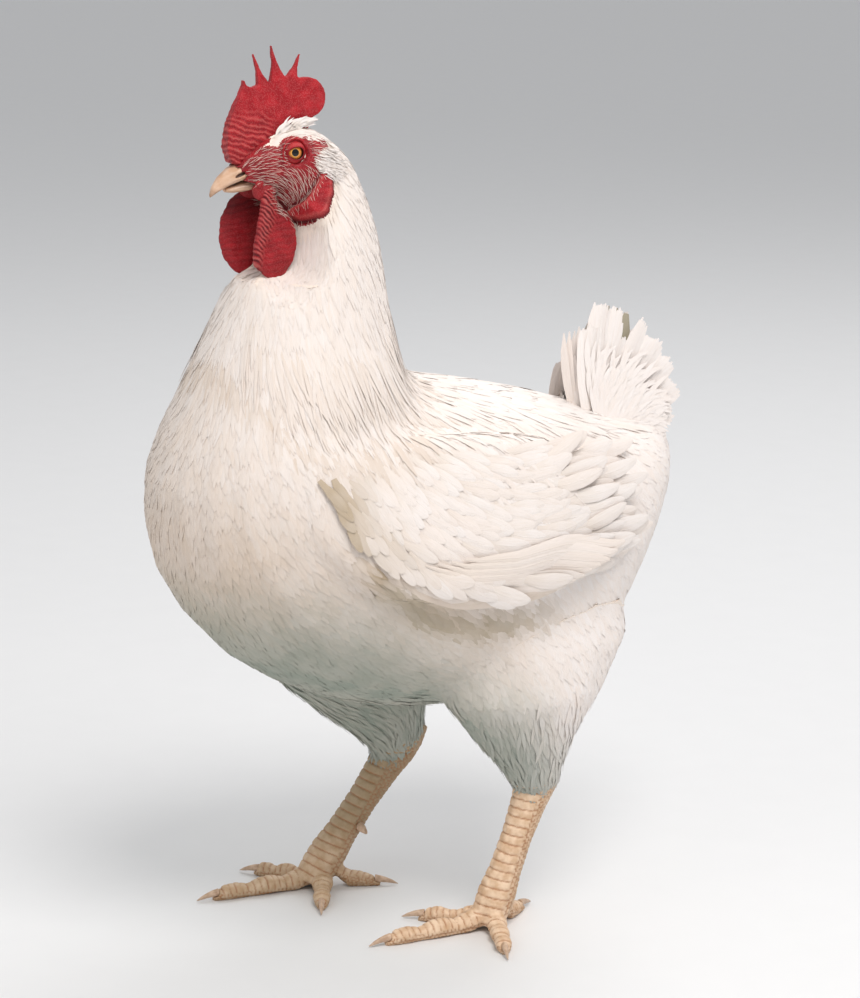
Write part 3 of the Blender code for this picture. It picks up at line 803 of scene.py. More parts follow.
BODY_NODES = ("rump", "trunk", "neck_lower", "neck_upper", "head", "thigh_left", "thigh_right",
              "wing_left", "wing_right", "primaries_left", "primaries_right")
FLAP_NODES = ("comb", "wattle_left", "wattle_right")
LOBE_NODES = ("earlobe_left", "earlobe_right")
LEG_NODES = tuple(f"{part}_{side}" for side in SIDES
                  for part in ("thigh", "shank", *(f"toe_{toe}" for toe in TOES)))
TAIL_NODES = ("tail_left", "tail_right")


def lid_ring(side):
    """Upper and lower lids: a soft rim round the eye, lying on the eyeball."""
    rows, around = 14, 80
    turn = np.linspace(0, 2 * np.pi, around, endpoint=False)
    upper, lower = np.clip(np.sin(turn), 0, 1), np.clip(-np.sin(turn), 0, 1)
    level = 0.0062 - 0.0014 * np.cos(turn) * 0.6
    points = []
    for share in np.linspace(0, 1, rows):
        reach = LID_OPENING + (LID_EDGE - LID_OPENING) * share
        radius = reach * (1 + 0.07 * (1 - share) * np.cos(2 * turn)) - 0.0004 * upper * (1 - share)
        radius = radius + 0.0011 * (1 - share) * np.clip(-np.cos(turn), 0, 1) ** 6
        ball = np.sqrt(np.maximum(EYE_RADIUS**2 - np.minimum(radius, 0.0074) ** 2, 0))
        lip = 0.0004 + 0.0012 * np.sin(np.pi * min(1.0, 0.12 + share * 1.5)) * (0.8 + 0.7 * upper)
        folds = 0.00032 * np.sin(share * 17 + 0.8 * np.sin(turn * 2)) * (0.5 + upper + lower * 0.5)
        blend = smooth(0.30, 0.85, share)
        out = (ball + lip) * (1 - blend) + (level - 0.0012 * share) * blend + folds
        points.append(columns(MID + side * (EYE_OUT + out), EYE[1] + radius * np.cos(turn),
                              EYE[2] + radius * np.sin(turn)))
    faces = ring_faces(rows, around)
    lid = mesh_object("lid", np.concatenate(points), faces if side < 0 else faces[:, ::-1])
    share = np.repeat(np.linspace(0, 1, rows), around)
    # Painted shade where the lids meet the eye and in a crease on the lid, and a painted highlight
    # along the lid's rim.
    set_marks(lid.data, fold=0.75 * smooth(0.22, 0.0, share)
              + 0.35 * smooth(0.5, 0.6, share) * smooth(0.75, 0.62, share),
              pale=0.25 * smooth(0.2, 0.35, share) * smooth(0.5, 0.4, share))
    return lid


def knob(centre, radii, fold):
    """A small rounded fleshy knob."""
    around, rows = 28, 17
    turn = np.linspace(0, 2 * np.pi, around, endpoint=False)
    tilt = np.linspace(0, np.pi, rows)[:, None]
    points = columns(np.sin(tilt) * np.cos(turn), np.sin(tilt) * np.sin(turn), np.cos(tilt))
    points = points.reshape(-1, 3) * radii
    points += unit(points) * (ripple(points, 260, 21) * 0.00035)[:, None]
    lump = mesh_object("knob", points + centre, ring_faces(rows, around)[:, [0, 3, 2, 1]])
    # The knob is darkened all over with the fold mark's shade colour and given a faint pale mark.
    set_marks(lump.data, fold=np.full(len(points), fold), pale=np.full(len(points), 0.05))
    return lump


def knobs(side):
    """The knob at the corner of the mouth, and the root that the wattle hangs from."""
    sign = SIDES[side]
    low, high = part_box(f"wattle_{side}")
    mouth = (MID + sign * 0.0112, EYE[1] - 0.0232, EYE[2] - 0.0196)
    root = (MID + sign * 0.0098, low.y + 0.0210, high.z + 0.0006)
    return [knob(mouth, (0.0024, 0.0030, 0.0036), 0.12), knob(root, (0.0034, 0.0088, 0.0068), 0.34)]


def fold_head(skin, loose):
    """Works the folds into the head's skin, or with loose at 1 into the comb and wattles."""
    mesh = skin.data
    points, normals = shape_of(mesh)
    out, z, fixed = out_of(points), points[:, 2].copy(), 1 - loose
    inner = lobe_depth(points)
    lobe = fixed * smooth(-0.0006, 0.0026, inner) * (out > 0.006)
    comb = loose * (z > 0.518) * (out < 0.0080)
    wattle = loose * (1 - comb)
    bare = np.clip(loose + smooth(-0.0004, 0.0008, face_depth(points)), 0, 1)
    crown = (comb_height(points) > 0) * (out < 0.010) * (points[:, 1] < EYE[1] + 0.02)
    bare = np.maximum(bare, crown)
    if not loose:
        points = tucked(points - normals * coat_depth(points)[:, None])
    near = points[:, 0] > MID
    # The near wattle is swung back a little, so its front edge lies further back.
    front = np.interp(z, WATTLE_Z, WATTLE_FRONT)
    share = np.clip((points[:, 1] + 0.1420) / 0.036, 0, 1)
    swung = front + share * (np.interp(z, WATTLE_Z, WATTLE_REAR) - front)
    points[:, 1] += wattle * near * smooth(0.4495, 0.4520, z) * (swung - points[:, 1])
    y = points[:, 1]
    back, up = y - EYE[1], z - EYE[2]
    ring = np.hypot(back, up)
    socket = smooth(0.0078, 0.0062, ring) * (out > 0.008) * fixed
    points[:, 0] -= np.sign(points[:, 0] - MID) * socket * 0.0050
    rings = np.sin(ring * 4600 + ripple(points, 60, 3) * 1.5) * smooth(0.0165, 0.010, ring)
    cheek = ripple(points * (1, 0.55, 1.4), 190, 4)
    fan = np.sin(np.arctan2(up - 0.004, back + 0.020) * 46 + ripple(points, 60, 5) * 2.2)
    blade = np.sin(z * 1650 + ripple(points, 45, 5) * 3.6 + y * 520 + ripple(points, 150, 12) * 1.2)
    foot = smooth(0.566, 0.548, z) * smooth(-0.104, -0.118, y)
    slant = np.sin((z * 0.75 + y * 0.95) * 2300 + ripple(points, 90, 6) * 2.8)
    level = np.sin((z - y * 0.12) * 1500 + ripple(points, 50, 9) * 2.2)
    rim_width = 0.0030 + 0.0024 * smooth(0.470, 0.495, z) - 0.0010 * smooth(0.46, 0.452, z)
    edge = np.where(near, front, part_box("wattle_left")[0].y + 0.002)
    rim = hump(y - edge - rim_width, rim_width) * wattle * near
    hollow = wattle * smooth(0.484, 0.500, z) * smooth(0.4, 0.1, rim)
    relief = fixed * bare * (rings * 0.00018 + cheek * 0.00020)
    relief += comb * (blade * foot * 0.00020 + fan * (1 - foot) * 0.00010
                      + ripple(points, 170, 7) * 0.00016)
    relief += wattle * (rim * (0.0019 + slant * 0.00028) + (1 - rim) * level * 0.00012
                        + ripple(points, 120, 8) * 0.00014 - hollow * 0.0006)
    relief += lobe * (0.0026 + hump(inner - 0.0024, 0.0012) * 0.0007
                      + ripple(points, 130, 10) * 0.00035)
    set_points(mesh, points + normals * relief[:, None])
    # Painted shade in the grooves of the relief.
    fine = np.clip(-(blade * foot * comb * 0.6 + slant * rim + level * wattle * 0.25
                     + rings * fixed * 0.5 + cheek * fixed * 0.5), 0, 1)
    # Painted shade on the lores and below the eye, between the bristles.
    lores = smooth(-0.010, -0.024, back) * smooth(0.0, -0.008, up)
    below = smooth(-0.011, -0.020, up) * smooth(-0.022, -0.008, back)
    # The fold mark is painted shade in grooves, the wattle's hollow, round the lobe and between the
    # bristles, with the bare face and the wattles darkened overall and the far wattle a little
    # more.
    fold = (fine * 0.8 + hollow * 0.45 + fixed * hump(inner, 0.0009) * 0.6
            + fixed * bare * (1 - lobe) * (0.22 + 0.22 * lores + 0.22 * below)
            + wattle * (0.24 + 0.02 * (1 - near)))
    # The pale mark is painted highlight on the wattle's rim ridges, the lobe's ridge and the blades
    # at the comb's foot.
    pale = (rim * smooth(0.1, 0.9, slant) * 0.8 + lobe * hump(inner - 0.0024, 0.0010) * 0.35
            + comb * foot * smooth(0.3, 1.0, blade) * 0.5)
    set_marks(mesh, fold=np.clip(fold, 0, 1) * bare, pale=np.clip(pale, 0, 1) * bare)
    return bare > 0.5


def shank_ends(side):
    """The middle of that shank's top, and of its foot."""
    points = solid_points(f"shank_{side}")
    z = points[:, 2]
    return points[z > z.max() - 0.012].mean(0), points[z < z.min() + 0.020].mean(0)


HOCK_Y = {side: shank_ends(side)[0][1] for side in SIDES}
SHANK_SCALE, TOE_SCALE, SMALL_SCALE = 0.0064, 0.0046, 0.0042


def bones():
    """Each shank and toe: which it is, its side, and its line from root to end."""
    for side in SIDES:
        top, foot = shank_ends(side)
        yield "shank", side, top, foot
        for toe in TOES:
            points, claw = solid_points(f"toe_{toe}_{side}"), solid_points(f"claw_{toe}_{side}")
            far, claw_far = (np.linalg.norm(p[:, :2] - foot[:2], axis=1) for p in (points, claw))
            yield (toe, side, points[far < far.min() + 0.008].mean(0),
                   claw[np.argsort(claw_far)[:8]].mean(0))


def above_cuff(points):
    """Height over the line where the thigh's feathers end, sloping up at the back."""
    cuff = np.where(points[:, 0] > MID, 0.1045 + 0.15 * (points[:, 1] - HOCK_Y["left"]),
                    0.1100 + 0.60 * (points[:, 1] - HOCK_Y["right"]))
    return points[:, 2] - cuff


def plates(row, rise, fall):
    """A plate from each whole number to the next, up over rise and down from fall on."""
    phase = row - np.floor(row)
    return smooth(0.0, rise, phase) * smooth(1.0, fall, phase)


def make_leg_skin():
    """Shanks and toes with overlapping scutes in front, small scales behind, and pads below."""
    skin = moulded("leg_skin", LEG_NODES, 0.00100, 4)
    mesh = skin.data
    points, normals = shape_of(mesh)
    best = np.full(len(points), 1e9)
    along, turn, pitch, radius = np.zeros((4, len(points)))
    for name, side, start, end in bones():
        shank = name == "shank"
        length = np.linalg.norm(end - start)
        run = (end - start) / length
        share = (points - start) @ run
        off = points - start - np.clip(share, 0, length)[:, None] * run
        distance = np.linalg.norm(off, axis=1)
        ahead = np.array((0.1 * SIDES[side], -1.0, 0.3) if shank else (0.0, 0.0, 1.0))
        ahead = unit(ahead - run * (ahead @ run))
        nearer = distance / (1.9 if shank else 1.0) < best
        best[nearer] = distance[nearer] / (1.9 if shank else 1.0)
        along[nearer], radius[nearer] = share[nearer], distance[nearer]
        turn[nearer] = np.arctan2(off @ np.cross(run, ahead), off @ ahead)[nearer]
        pitch[nearer] = SHANK_SCALE if shank else TOE_SCALE
    front = smooth(1.75, 1.45, np.abs(turn))
    row = along / pitch + ripple(points, 28, 11) * 0.10 + 0.25 * np.abs(turn) ** 2 * 0.3
    # A second row of smaller plates on each flank, and pebbles behind and below.
    column = (turn * radius) / SMALL_SCALE
    brick = row * 1.6 + 0.5 * (np.floor(column) % 2)
    small = plates(brick, 0.22, 0.78) * plates(column, 0.2, 0.8)
    relief = front * plates(row, 0.16, 0.80) + (1 - front) * small * 0.8
    leg = smooth(0.140, 0.128, points[:, 2])
    points += normals * ((relief - 0.5) * 0.0009 * leg)[:, None]
    points -= normals * (smooth(-0.003, 0.004, above_cuff(points)) * 0.0030)[:, None]
    set_points(mesh, points)
    # Painted shade: the far leg darker, most up near the body, and the legs' backs and sides
    # darker; above the cuff the coat's painted shade.
    shade = (points[:, 0] < MID) * (0.45 + 0.50 * smooth(0.020, 0.055, points[:, 2]))
    shade = np.clip(shade + 0.25 * smooth(1.2, 2.4, np.abs(turn)), 0, 1) * leg
    set_marks(mesh, seam=np.clip(1 - relief * 1.5, 0, 1) * leg * 0.8,
              dusk=np.where(above_cuff(points) < 0.001, shade, dusk_of(points)))
    return skin, (leg > 0.5) & (above_cuff(points_of(mesh)) < 0.001)


def choose_finish(obj, chosen, inside, outside):
    """Gives each face the inside finish where its first corner is chosen."""
    mesh = obj.data
    first = read(mesh.loops, "vertex_index", np.int32)[read(mesh.polygons, "loop_start", np.int32)]
    index = np.where(chosen[first], inside, outside).astype(np.int32)
    mesh.polygons.foreach_set("material_index", index)


def make_skin():
    """One skin for the whole bird: head, legs, and the body under the coat."""
    body = moulded("body_skin", BODY_NODES, 0.0030, 8)
    points, normals = shape_of(body.data)
    depth = coat_depth(points) + 0.0016 * smooth(0.44, 0.50, points[:, 2])
    set_points(body.data, tucked(points - normals * depth[:, None]))
    # The body's skin carries the coat's tan and painted shade.
    set_marks(body.data, stain=stain_of(points), dusk=dusk_of(points))
    flaps = moulded("flap_skin", FLAP_NODES, 0.00068, 4)
    head = moulded("head_skin", ("neck_upper", "head"), 0.00090, 6)
    bare = fold_head(head, 0.0)
    fold_head(flaps, 1.0)
    legs, scaled = make_leg_skin()
    loose = [lid_ring(sign) for sign in SIDES.values()]
    for side in SIDES:
        loose += knobs(side)
    finishes = [red_finish(), down_skin_finish(), leg_finish()]
    pieces = [body, head, flaps, legs, *loose]
    for piece, finish in itertools.product(pieces, finishes):
        piece.data.materials.append(finish)
    choose_finish(head, bare, 0, 1)
    choose_finish(legs, scaled, 2, 1)
    choose_finish(body, np.zeros(len(points), bool), 0, 1)
    skin = joined("skin", pieces)
    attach(skin, "root")
    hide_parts(*sorted(set(BODY_NODES + FLAP_NODES + LOBE_NODES
                               + LEG_NODES + TAIL_NODES)))
    skin.data.shade_smooth()
    return skin


# ---- eyes, beak, claws


def make_eye(side):
    """An eyeball with a raised cornea; its marks say how far a point is from the gaze."""
    gaze = Vector(unit(np.array((SIDES[side] * 0.97, -0.20, 0.03))))
    bm = bmesh.new()
    bmesh.ops.create_uvsphere(bm, u_segments=96, v_segments=64, radius=1.0)
    mesh = bpy.data.meshes.new(f"eyeball_{side}")
    bm.to_mesh(mesh)
    bm.free()
    points = unit(points_of(mesh))
    turn = np.arctan2(points[:, 1], points[:, 0])
    off = np.arccos(np.clip(points[:, 2], -1, 1))
    bulge = 1 + 0.05 * smooth(0.75, 0.0, off)
    turned = np.array(gaze.to_track_quat("Z", "Y").to_matrix()).T
    centre = centre_of(f"eye_{side}")
    set_points(mesh, (points * (EYE_RADIUS * bulge)[:, None]) @ turned + centre)
    set_marks(mesh, off_axis=off, turn=turn * 3)
    mesh.shade_smooth()
    eye = placed(f"eyeball_{side}", mesh)
    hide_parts(f"eye_{side}")
    dress(eye, FINISH["eye"])


def make_beak(node):
    """A beak half smoothed from its solid, with the nostril and the mouth's edge worked in."""
    beak = moulded(f"{node}_horn", (node,), 0.00045, 8)
    points, normals = shape_of(beak.data)
    out = out_of(points)
    if node == "beak_upper":
        back, up = points[:, 1] + 0.1360, points[:, 2] - 0.5203
        along, over = back * 0.90 + up * 0.43, up * 0.90 - back * 0.43
        hole = smooth(1.2, 0.65, np.hypot(along / 0.0044, over / 0.0010)) * (out > 0.002)
        flap = smooth(1.0, 0.2, np.hypot(along / 0.0058, (over - 0.0021) / 0.0019)) * (out > 0.002)
        points -= normals * (hole * 0.0018 - flap * 0.0007)[:, None]
        ridge = smooth(0.0035, 0.0005, out) * smooth(0.515, 0.520, points[:, 2])
        low = smooth(0.5120, 0.5085, points[:, 2])
        # Painted shade in the nostril and low on the upper beak, with some real brown along its
        # ridge.
        shade = np.clip(hole * 1.4 + 0.18 * ridge + 0.30 * low, 0, 1)
    else:
        points[:, 2] += 0.0011 + 0.0010 * smooth(-0.136, -0.150, points[:, 1])
        # Painted shade on top of the lower beak, under the upper one.
        shade = 0.55 * smooth(0.5100, 0.5128, points[:, 2])
    lines = ripple(points * (1, 3.0, 1), 90, 21) * 0.00006
    set_points(beak.data, points + normals * lines[:, None])
    set_marks(beak.data, shade=shade)
    beak.data.shade_smooth()
    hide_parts(node)
    dress(beak, FINISH["horn"])


def make_claw(node):
    """A claw or spur smoothed from its solid."""
    claw = moulded(f"{node}_horn", (node,), 0.00045, 4)
    claw.data.shade_smooth()
    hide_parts(node)
    dress(claw, FINISH["claw"])


# ---- where the coat grows

# The hem of the neck's cape of long hackles, by its place along the body.
HEM_Y = (-0.195, -0.175, -0.155, -0.139, -0.131, -0.114, -0.093, -0.067, -0.052, -0.046, -0.030)
HEM_Z = (0.470, 0.4517, 0.4184, 0.3900, 0.3680, 0.3665, 0.3708, 0.3649, 0.3798, 0.3945, 0.4150)
# The folded wing's lower edge, from its bend to its tip, as back and height.
EDGE_Y = (-0.128, -0.124, -0.110, -0.089, -0.063, -0.033, 0.005, 0.039, 0.082, 0.102)
EDGE_Z = (0.320, 0.311, 0.293, 0.271, 0.252, 0.2416, 0.2406, 0.2440, 0.2460, 0.2540)
# The height where the pale coat turns to the painted shade of its underside, by place along the
# body.
SHADE_LINE_Y = (-0.150, -0.100, -0.042, 0.000, 0.036, 0.066)
SHADE_LINE_Z = (0.252, 0.240, 0.200, 0.182, 0.163, 0.125)


def above_hem(points):
    return points[:, 2] - np.interp(points[:, 1], HEM_Y, HEM_Z)


def above_edge(points):
    """Height over the folded wing's lower edge."""
    return points[:, 2] - np.interp(points[:, 1], EDGE_Y, EDGE_Z)


def even_sizes(length, width, gap):
    return lambda points: np.tile((length, width, gap), (len(points), 1))


def feathered(points):
    """Everywhere but the bare face, the comb's foot, and the shanks."""
    back, _ = from_eye(points)
    face = (face_depth(points) > -0.0006) & (points[:, 2] > 0.47)
    brow = (back < -0.026) & (points[:, 2] > 0.50)
    foot = (comb_height(points) > 0.001) & (back < 0.018)
    return ~(face | brow | foot) & (above_cuff(points) > 0)


def in_cape(points):
    """Over the neck's cape of long hackles, whose tips hang free over the breast."""
    return feathered(points) & (above_hem(points) > 0.022) & (points[:, 1] < 0.02)


def on_body(points):
    return feathered(points) & ~in_cape(points)


def at_hem(points):
    """Where the last hackles have their roots, in loose clumps."""
    y, height = points[:, 1], above_hem(points)
    clump = 0.5 + 0.5 * np.sin(y * 420 + 2.0 * np.sin(y * 150))
    inside = (height > 0.024) & (height < 0.050) & (y < -0.030) & (out_of(points) > 0.020)
    return inside * (0.25 + 0.75 * clump)


def on_shoulder(points):
    """Along the back's edge, where long soft feathers start and fall over the wing's top."""
    _, y, z = points.T
    return ((y > -0.075) & (y < 0.115) & (z > 0.338) & (z < 0.384 + 0.008 * np.sin(y * 170))
            & (out_of(points) > 0.030))


def shoulder_sizes(points):
    grow = smooth(-0.07, 0.02, points[:, 1])
    return columns(0.036 + 0.010 * grow, 0.0044, 0.0046)


def on_thigh(points):
    """The thigh's loose down, and the fringe where it ends over the hock."""
    _, y, z = points.T
    top = 0.160 + 0.012 * np.sin(y * 230) + 0.008 * np.sin(y * 610)
    return (above_cuff(points) > 0.0005) & (z < top)


def thigh_sizes(points):
    grow = smooth(0.003, 0.014, above_cuff(points))
    return columns(0.0100 + 0.0110 * grow, 0.0021 + 0.0005 * grow, 0.0021 + 0.0020 * grow)


def on_face(points):
    """Thick in front of the eye and over the cheek, thin round the eye and on the lobe."""
    back, up = from_eye(points)
    clear = smooth(0.0085, 0.0110, np.hypot(back, up)) * (face_depth(points) > 0.0002)
    clear = clear * (out_of(points) > 0.0075) * (points[:, 2] > 0.478)
    lobe = smooth(-0.002, 0.002, lobe_depth(points))
    front = 0.30 + 0.70 * smooth(-0.024, -0.008, back)
    return clear * (1 - lobe) * front * (0.25 + 0.75 * smooth(0.006, -0.004, up))


def bristle_way(points):
    """Face bristles run back from the beak, then curve down behind the cheek."""
    back, up = from_eye(points)
    drop = smooth(-0.024, 0.014, back) * smooth(0.004, -0.020, up)
    fall = 0.30 * smooth(-0.010, -0.024, back) - 1.15 * drop - 0.10
    way = columns(0.0, 1.0 - 0.55 * drop, fall)
    return unit(way + smooth(0.002, 0.008, up)[:, None] * (0.0, 0.3, 0.5))


def bristle_sizes(points):
    length = 0.0046 + 0.0034 * smooth(-0.004, -0.020, from_eye(points)[1])
    length = length * (1 - 0.5 * smooth(-0.009, -0.003, lobe_depth(points)))
    return columns(length, 0.00027, 0.00170)


def at_ear(points):
    back, up = from_eye(points)
    inside = ((back - 0.0200) / 0.0095) ** 2 + ((up + 0.0065) / 0.0090) ** 2 < 1
    return inside & (out_of(points) > 0.008)


def ear_way(points):
    return np.tile(unit(np.array((0.0, 0.85, -0.55))), (len(points), 1))


def stain_of(points):
    """Cream over the neck and breast; tan as painted shade along the cape's hem, under the wing's
    edge, low on the breast's front and above the underside's painted shade.
    """
    _, y, z = points.T
    # Warm painted shade above the underside's painted shade and low on the breast's front.
    warm = 0.24 * smooth(0.110, 0.030, z - np.interp(y, SHADE_LINE_Y, SHADE_LINE_Z)) * smooth(0.07, -0.02, y)
    warm = warm + 0.12 * smooth(-0.130, -0.175, y) * smooth(0.44, 0.36, z)
    # Tan painted shade along the cape's hem and under the wing's edge.
    hem = hump(above_hem(points) + 0.004, 0.012) * (y < -0.03)
    under = hump(above_edge(points) + 0.0060, 0.0085) * (out_of(points) > 0.05)
    under = under * smooth(0.07, 0.0, y) * smooth(-0.125, -0.105, y)
    return np.clip(0.12 * smooth(0.02, -0.10, y) + 0.26 * hem + warm + 0.50 * under, 0, 1)


def wing_stain(points):
    """Ochre at the wing's bend and along its lower edge, and fainter over the hollow behind as
    painted shade.
    """
    _, y, z = points.T
    rise = above_edge(points)
    bend = smooth(0.036, 0.004, np.hypot((y + 0.124) * 0.8, z - 0.318))
    edge = smooth(0.016, 0.002, rise) * smooth(-0.070, -0.105, y)
    # Painted shade over the hollow behind the bend.
    hollow = hump(y + 0.080, 0.030) * hump(rise - 0.022, 0.011)
    return np.clip(0.70 * bend + 0.70 * edge + 0.26 * hollow + 0.05, 0, 0.82)


def dusk_of(points):
    """Painted shade below: the belly, under the wing's edge, the far side low down, the fold before
    the thigh, and the thigh's lower end.
    """
    x, y, z = points.T
    belly = smooth(0.050, -0.040, z - np.interp(y, SHADE_LINE_Y, SHADE_LINE_Z))
    belly = belly * (1 - 0.65 * smooth(0.010, 0.070, y))
    edge = hump(above_edge(points) + 0.0060, 0.0085) * (out_of(points) > 0.05)
    edge = edge * smooth(0.06, -0.01, y) * smooth(-0.122, -0.095, y)
    # The far side, low down, darker as painted shade.
    far = 0.25 * smooth(MID, MID - 0.03, x) * smooth(0.20, 0.14, z)
    fold = hump(z - 0.176 + 0.35 * (y + 0.06), 0.004) * (y < 0.0)
    return np.clip(0.80 * belly + 0.30 * edge + 0.30 * smooth(0.170, 0.112, z) + far
                   + 0.35 * fold, 0, 0.90)


# ---- crown, wings and tail

FLIGHT_FEATHERS = 9
MOST_DROP = 0.0030
COVERT_STATIONS = np.array((0.0, 0.2, 0.42, 0.62, 0.78, 0.90, 0.97, 1.0))
TAIL_Y, TAIL_Z = 0.1307, 0.3120
# The tail's feathers from the front one back: the angle each stands at, and its length.
# The right leaf's front ones are still growing in.
TAIL_FAN = ((96, 0.0900), (89, 0.1050), (80.5, 0.1035), (69.5, 0.1020), (59, 0.0945),
            (48, 0.0890), (37, 0.0815), (27, 0.0690), (17, 0.0590))
GROWING = {"left": (1, 1, 1), "right": (0.68, 0.74, 0.92)}
# The tail's coverts: where each row starts and its length, how many, and their half width.
TAIL_COVERTS = ((0.040, 0.030, 56, 0.0021), (0.028, 0.030, 62, 0.0021),
                (0.016, 0.030, 66, 0.0020), (0.004, 0.032, 70, 0.0020))


def crown_feathers():
    """Pointed white feathers that stand up against the comb's foot, and a few at its rear."""
    rng = np.random.default_rng(77)
    coat = Coat()
    t = np.linspace(0, 1, 5)
    count = 90
    for sign in SIDES.values():
        back = rng.uniform(-0.0215, 0.0135, count)
        base = np.interp(back, *COMB_LINE) - rng.uniform(0.0030, 0.0078, count)
        length = (0.0062 + 0.0040 * smooth(-0.020, -0.006, back)) * rng.uniform(0.75, 1.1, count)
        steep = np.radians(60 - 34 * smooth(-0.010, 0.014, back) + rng.normal(0, 6, count))
        out = 0.0068 + rng.uniform(0, 0.0012, count)
        reach = length[:, None] * t
        y, z = rayed(EYE[1] + back[:, None], EYE[2] + base[:, None], reach,
                     steep[:, None] - 0.25 * t)
        line = columns(MID + sign * (out[:, None] - 0.10 * reach), y, z)
        half = 0.00075 * vane_widths(t, 0.35, 0.6, 0.06) * rng.uniform(0.8, 1.2, (count, 1))
        coat.add(line, unit(np.array((sign, -0.15, 0.25))), half, 0, 0.0002, 0.6,
                 rng.random(count) * 0.3)
    coat.piece("crown_feathers")


def side_lines(sign, y, z):
    """Lines over the bird's side from their places in side view, (feathers, rows) each.
    Past the body's edge, or where it drops away, they run on nearly level."""
    feathers, rows = y.shape
    line, normal = (found.reshape(feathers, rows, 3)
                    for found in form.from_side(y.ravel(), z.ravel(), sign))
    for k in range(rows):
        missing = np.isnan(line[:, k, 0])
        if k:
            missing |= (line[:, k - 1, 0] - line[:, k, 0]) * sign > MOST_DROP
            line[missing, k, 0] = line[missing, k - 1, 0] - sign * 0.0006
            normal[missing, k] = normal[missing, k - 1]
        else:
            line[missing, 0, 0] = MID + sign * 0.09
            normal[missing, 0] = (sign, 0, 0)
        line[missing, k, 1:] = columns(y, z)[missing, k]
    outward = unit(normal + (sign * 0.8, 0, 0))
    return line, unit(outward + np.roll(outward, 1, 1) * 0.5)


def wing_feathers(side):
    """Coverts in overlapping rows, then secondaries and primaries along the lower edge."""
    sign = SIDES[side]
    rng = np.random.default_rng(31 + sign)
    coat = Coat()
    # Flight feathers lie in a stack along the lower edge, the upper ones outermost.
    t = np.linspace(0, 1, 14)
    for i in range(FLIGHT_FEATHERS):
        start, end = -0.108 + 0.0090 * i, min(0.040 + 0.0070 * i, 0.101)
        y = start + (end - start) * t
        rise = (0.0050 + 0.0034 * i) * (1 - 0.35 * smooth(0.6, 1.0, t)) + 0.004 * (1 - t) ** 2
        line, normal = side_lines(sign, y[None], (np.interp(y, EDGE_Y, EDGE_Z) + rise)[None])
        half = 0.0066 * round_widths(t, 0.80)[None] * (0.25 + 0.75 * smooth(0.0, 0.22, t))
        stain = wing_stain(line[:, 2]) * 0.5 + (0.08 if i else 0.30)
        coat.add(line, normal, half, 0.0008 + 0.00042 * i, 0.0003, 0.5, rng.random(1), stain,
                 crown=0.28, far=1.0, steps=(-1, -0.6, -0.2, 0.2, 0.6, 1))
    # Coverts: small and steep at the bend, larger and flatter towards the tail.
    tries = 6000
    y = rng.uniform(-0.128, 0.085, tries)
    z = rng.uniform(0.25, 0.35, tries)
    places = columns(0.0, y, z)
    clear = 0.012 + 0.007 * smooth(-0.105, -0.075, y) * smooth(0.05, 0.01, y)
    places = places[(above_edge(places) > clear) & (z < 0.345 - 0.10 * np.abs(y + 0.04))]
    gap = 0.0050 + 0.0024 * covert_growth(places)
    places = places[spaced(places, gap)]
    growth = covert_growth(places)[:, None]
    count = len(places)
    _, y, z = places.T[:, :, None]
    # How steeply the coverts point down at that place along the wing.
    heading = np.radians(60 - 50 * smooth(-0.125, 0.045, y)) + rng.normal(0, 0.13, count)[:, None]
    length = (0.0205 + 0.0185 * growth) * rng.uniform(0.85, 1.2, count)[:, None]
    reach = COVERT_STATIONS * length
    heading = heading + np.radians(-14) * COVERT_STATIONS * growth
    line, normal = side_lines(sign, y + reach * np.cos(heading), z - reach * np.sin(heading))
    half = (0.0038 + 0.0018 * growth) * round_widths(COVERT_STATIONS)
    half = half * rng.uniform(0.85, 1.2, (count, 1))
    base = 0.0010 + 0.0022 * smooth(0.02, 0.0, above_edge(places)[:, None] - 0.02)
    stain = wing_stain(line[:, 4])
    # The coverts also take painted shade, at 0.3 of their tan.
    coat.add(line, normal, half, base - 0.0008 + 0.0014 * COVERT_STATIONS, 0.00020, 0.70,
             rng.random(count), stain, 0.30 * stain, crown=0.18, far=0.6,
             steps=(-1, -0.5, 0, 0.5, 1))
    coat.piece(f"wing_feathers_{side}")


def covert_growth(places):
    """From 0 for the small coverts at the bend to 1 for the large ones behind."""
    return smooth(-0.125, 0.02, places[:, 1] + (0.30 - places[:, 2]) * 0.5)


def rayed(y, z, reach, lean):
    """Places at that reach from y, z, at a lean of 0 straight back and of 90 degrees up."""
    return y + reach * np.cos(lean), z + reach * np.sin(lean)


def leaf_out(z, layer):
    """How far out a tail leaf's feathers lie at that height, the front ones outermost."""
    return 0.0026 + np.clip(0.417 - z, 0, 0.2) * 0.17 + 0.0022 + 0.0005 * layer


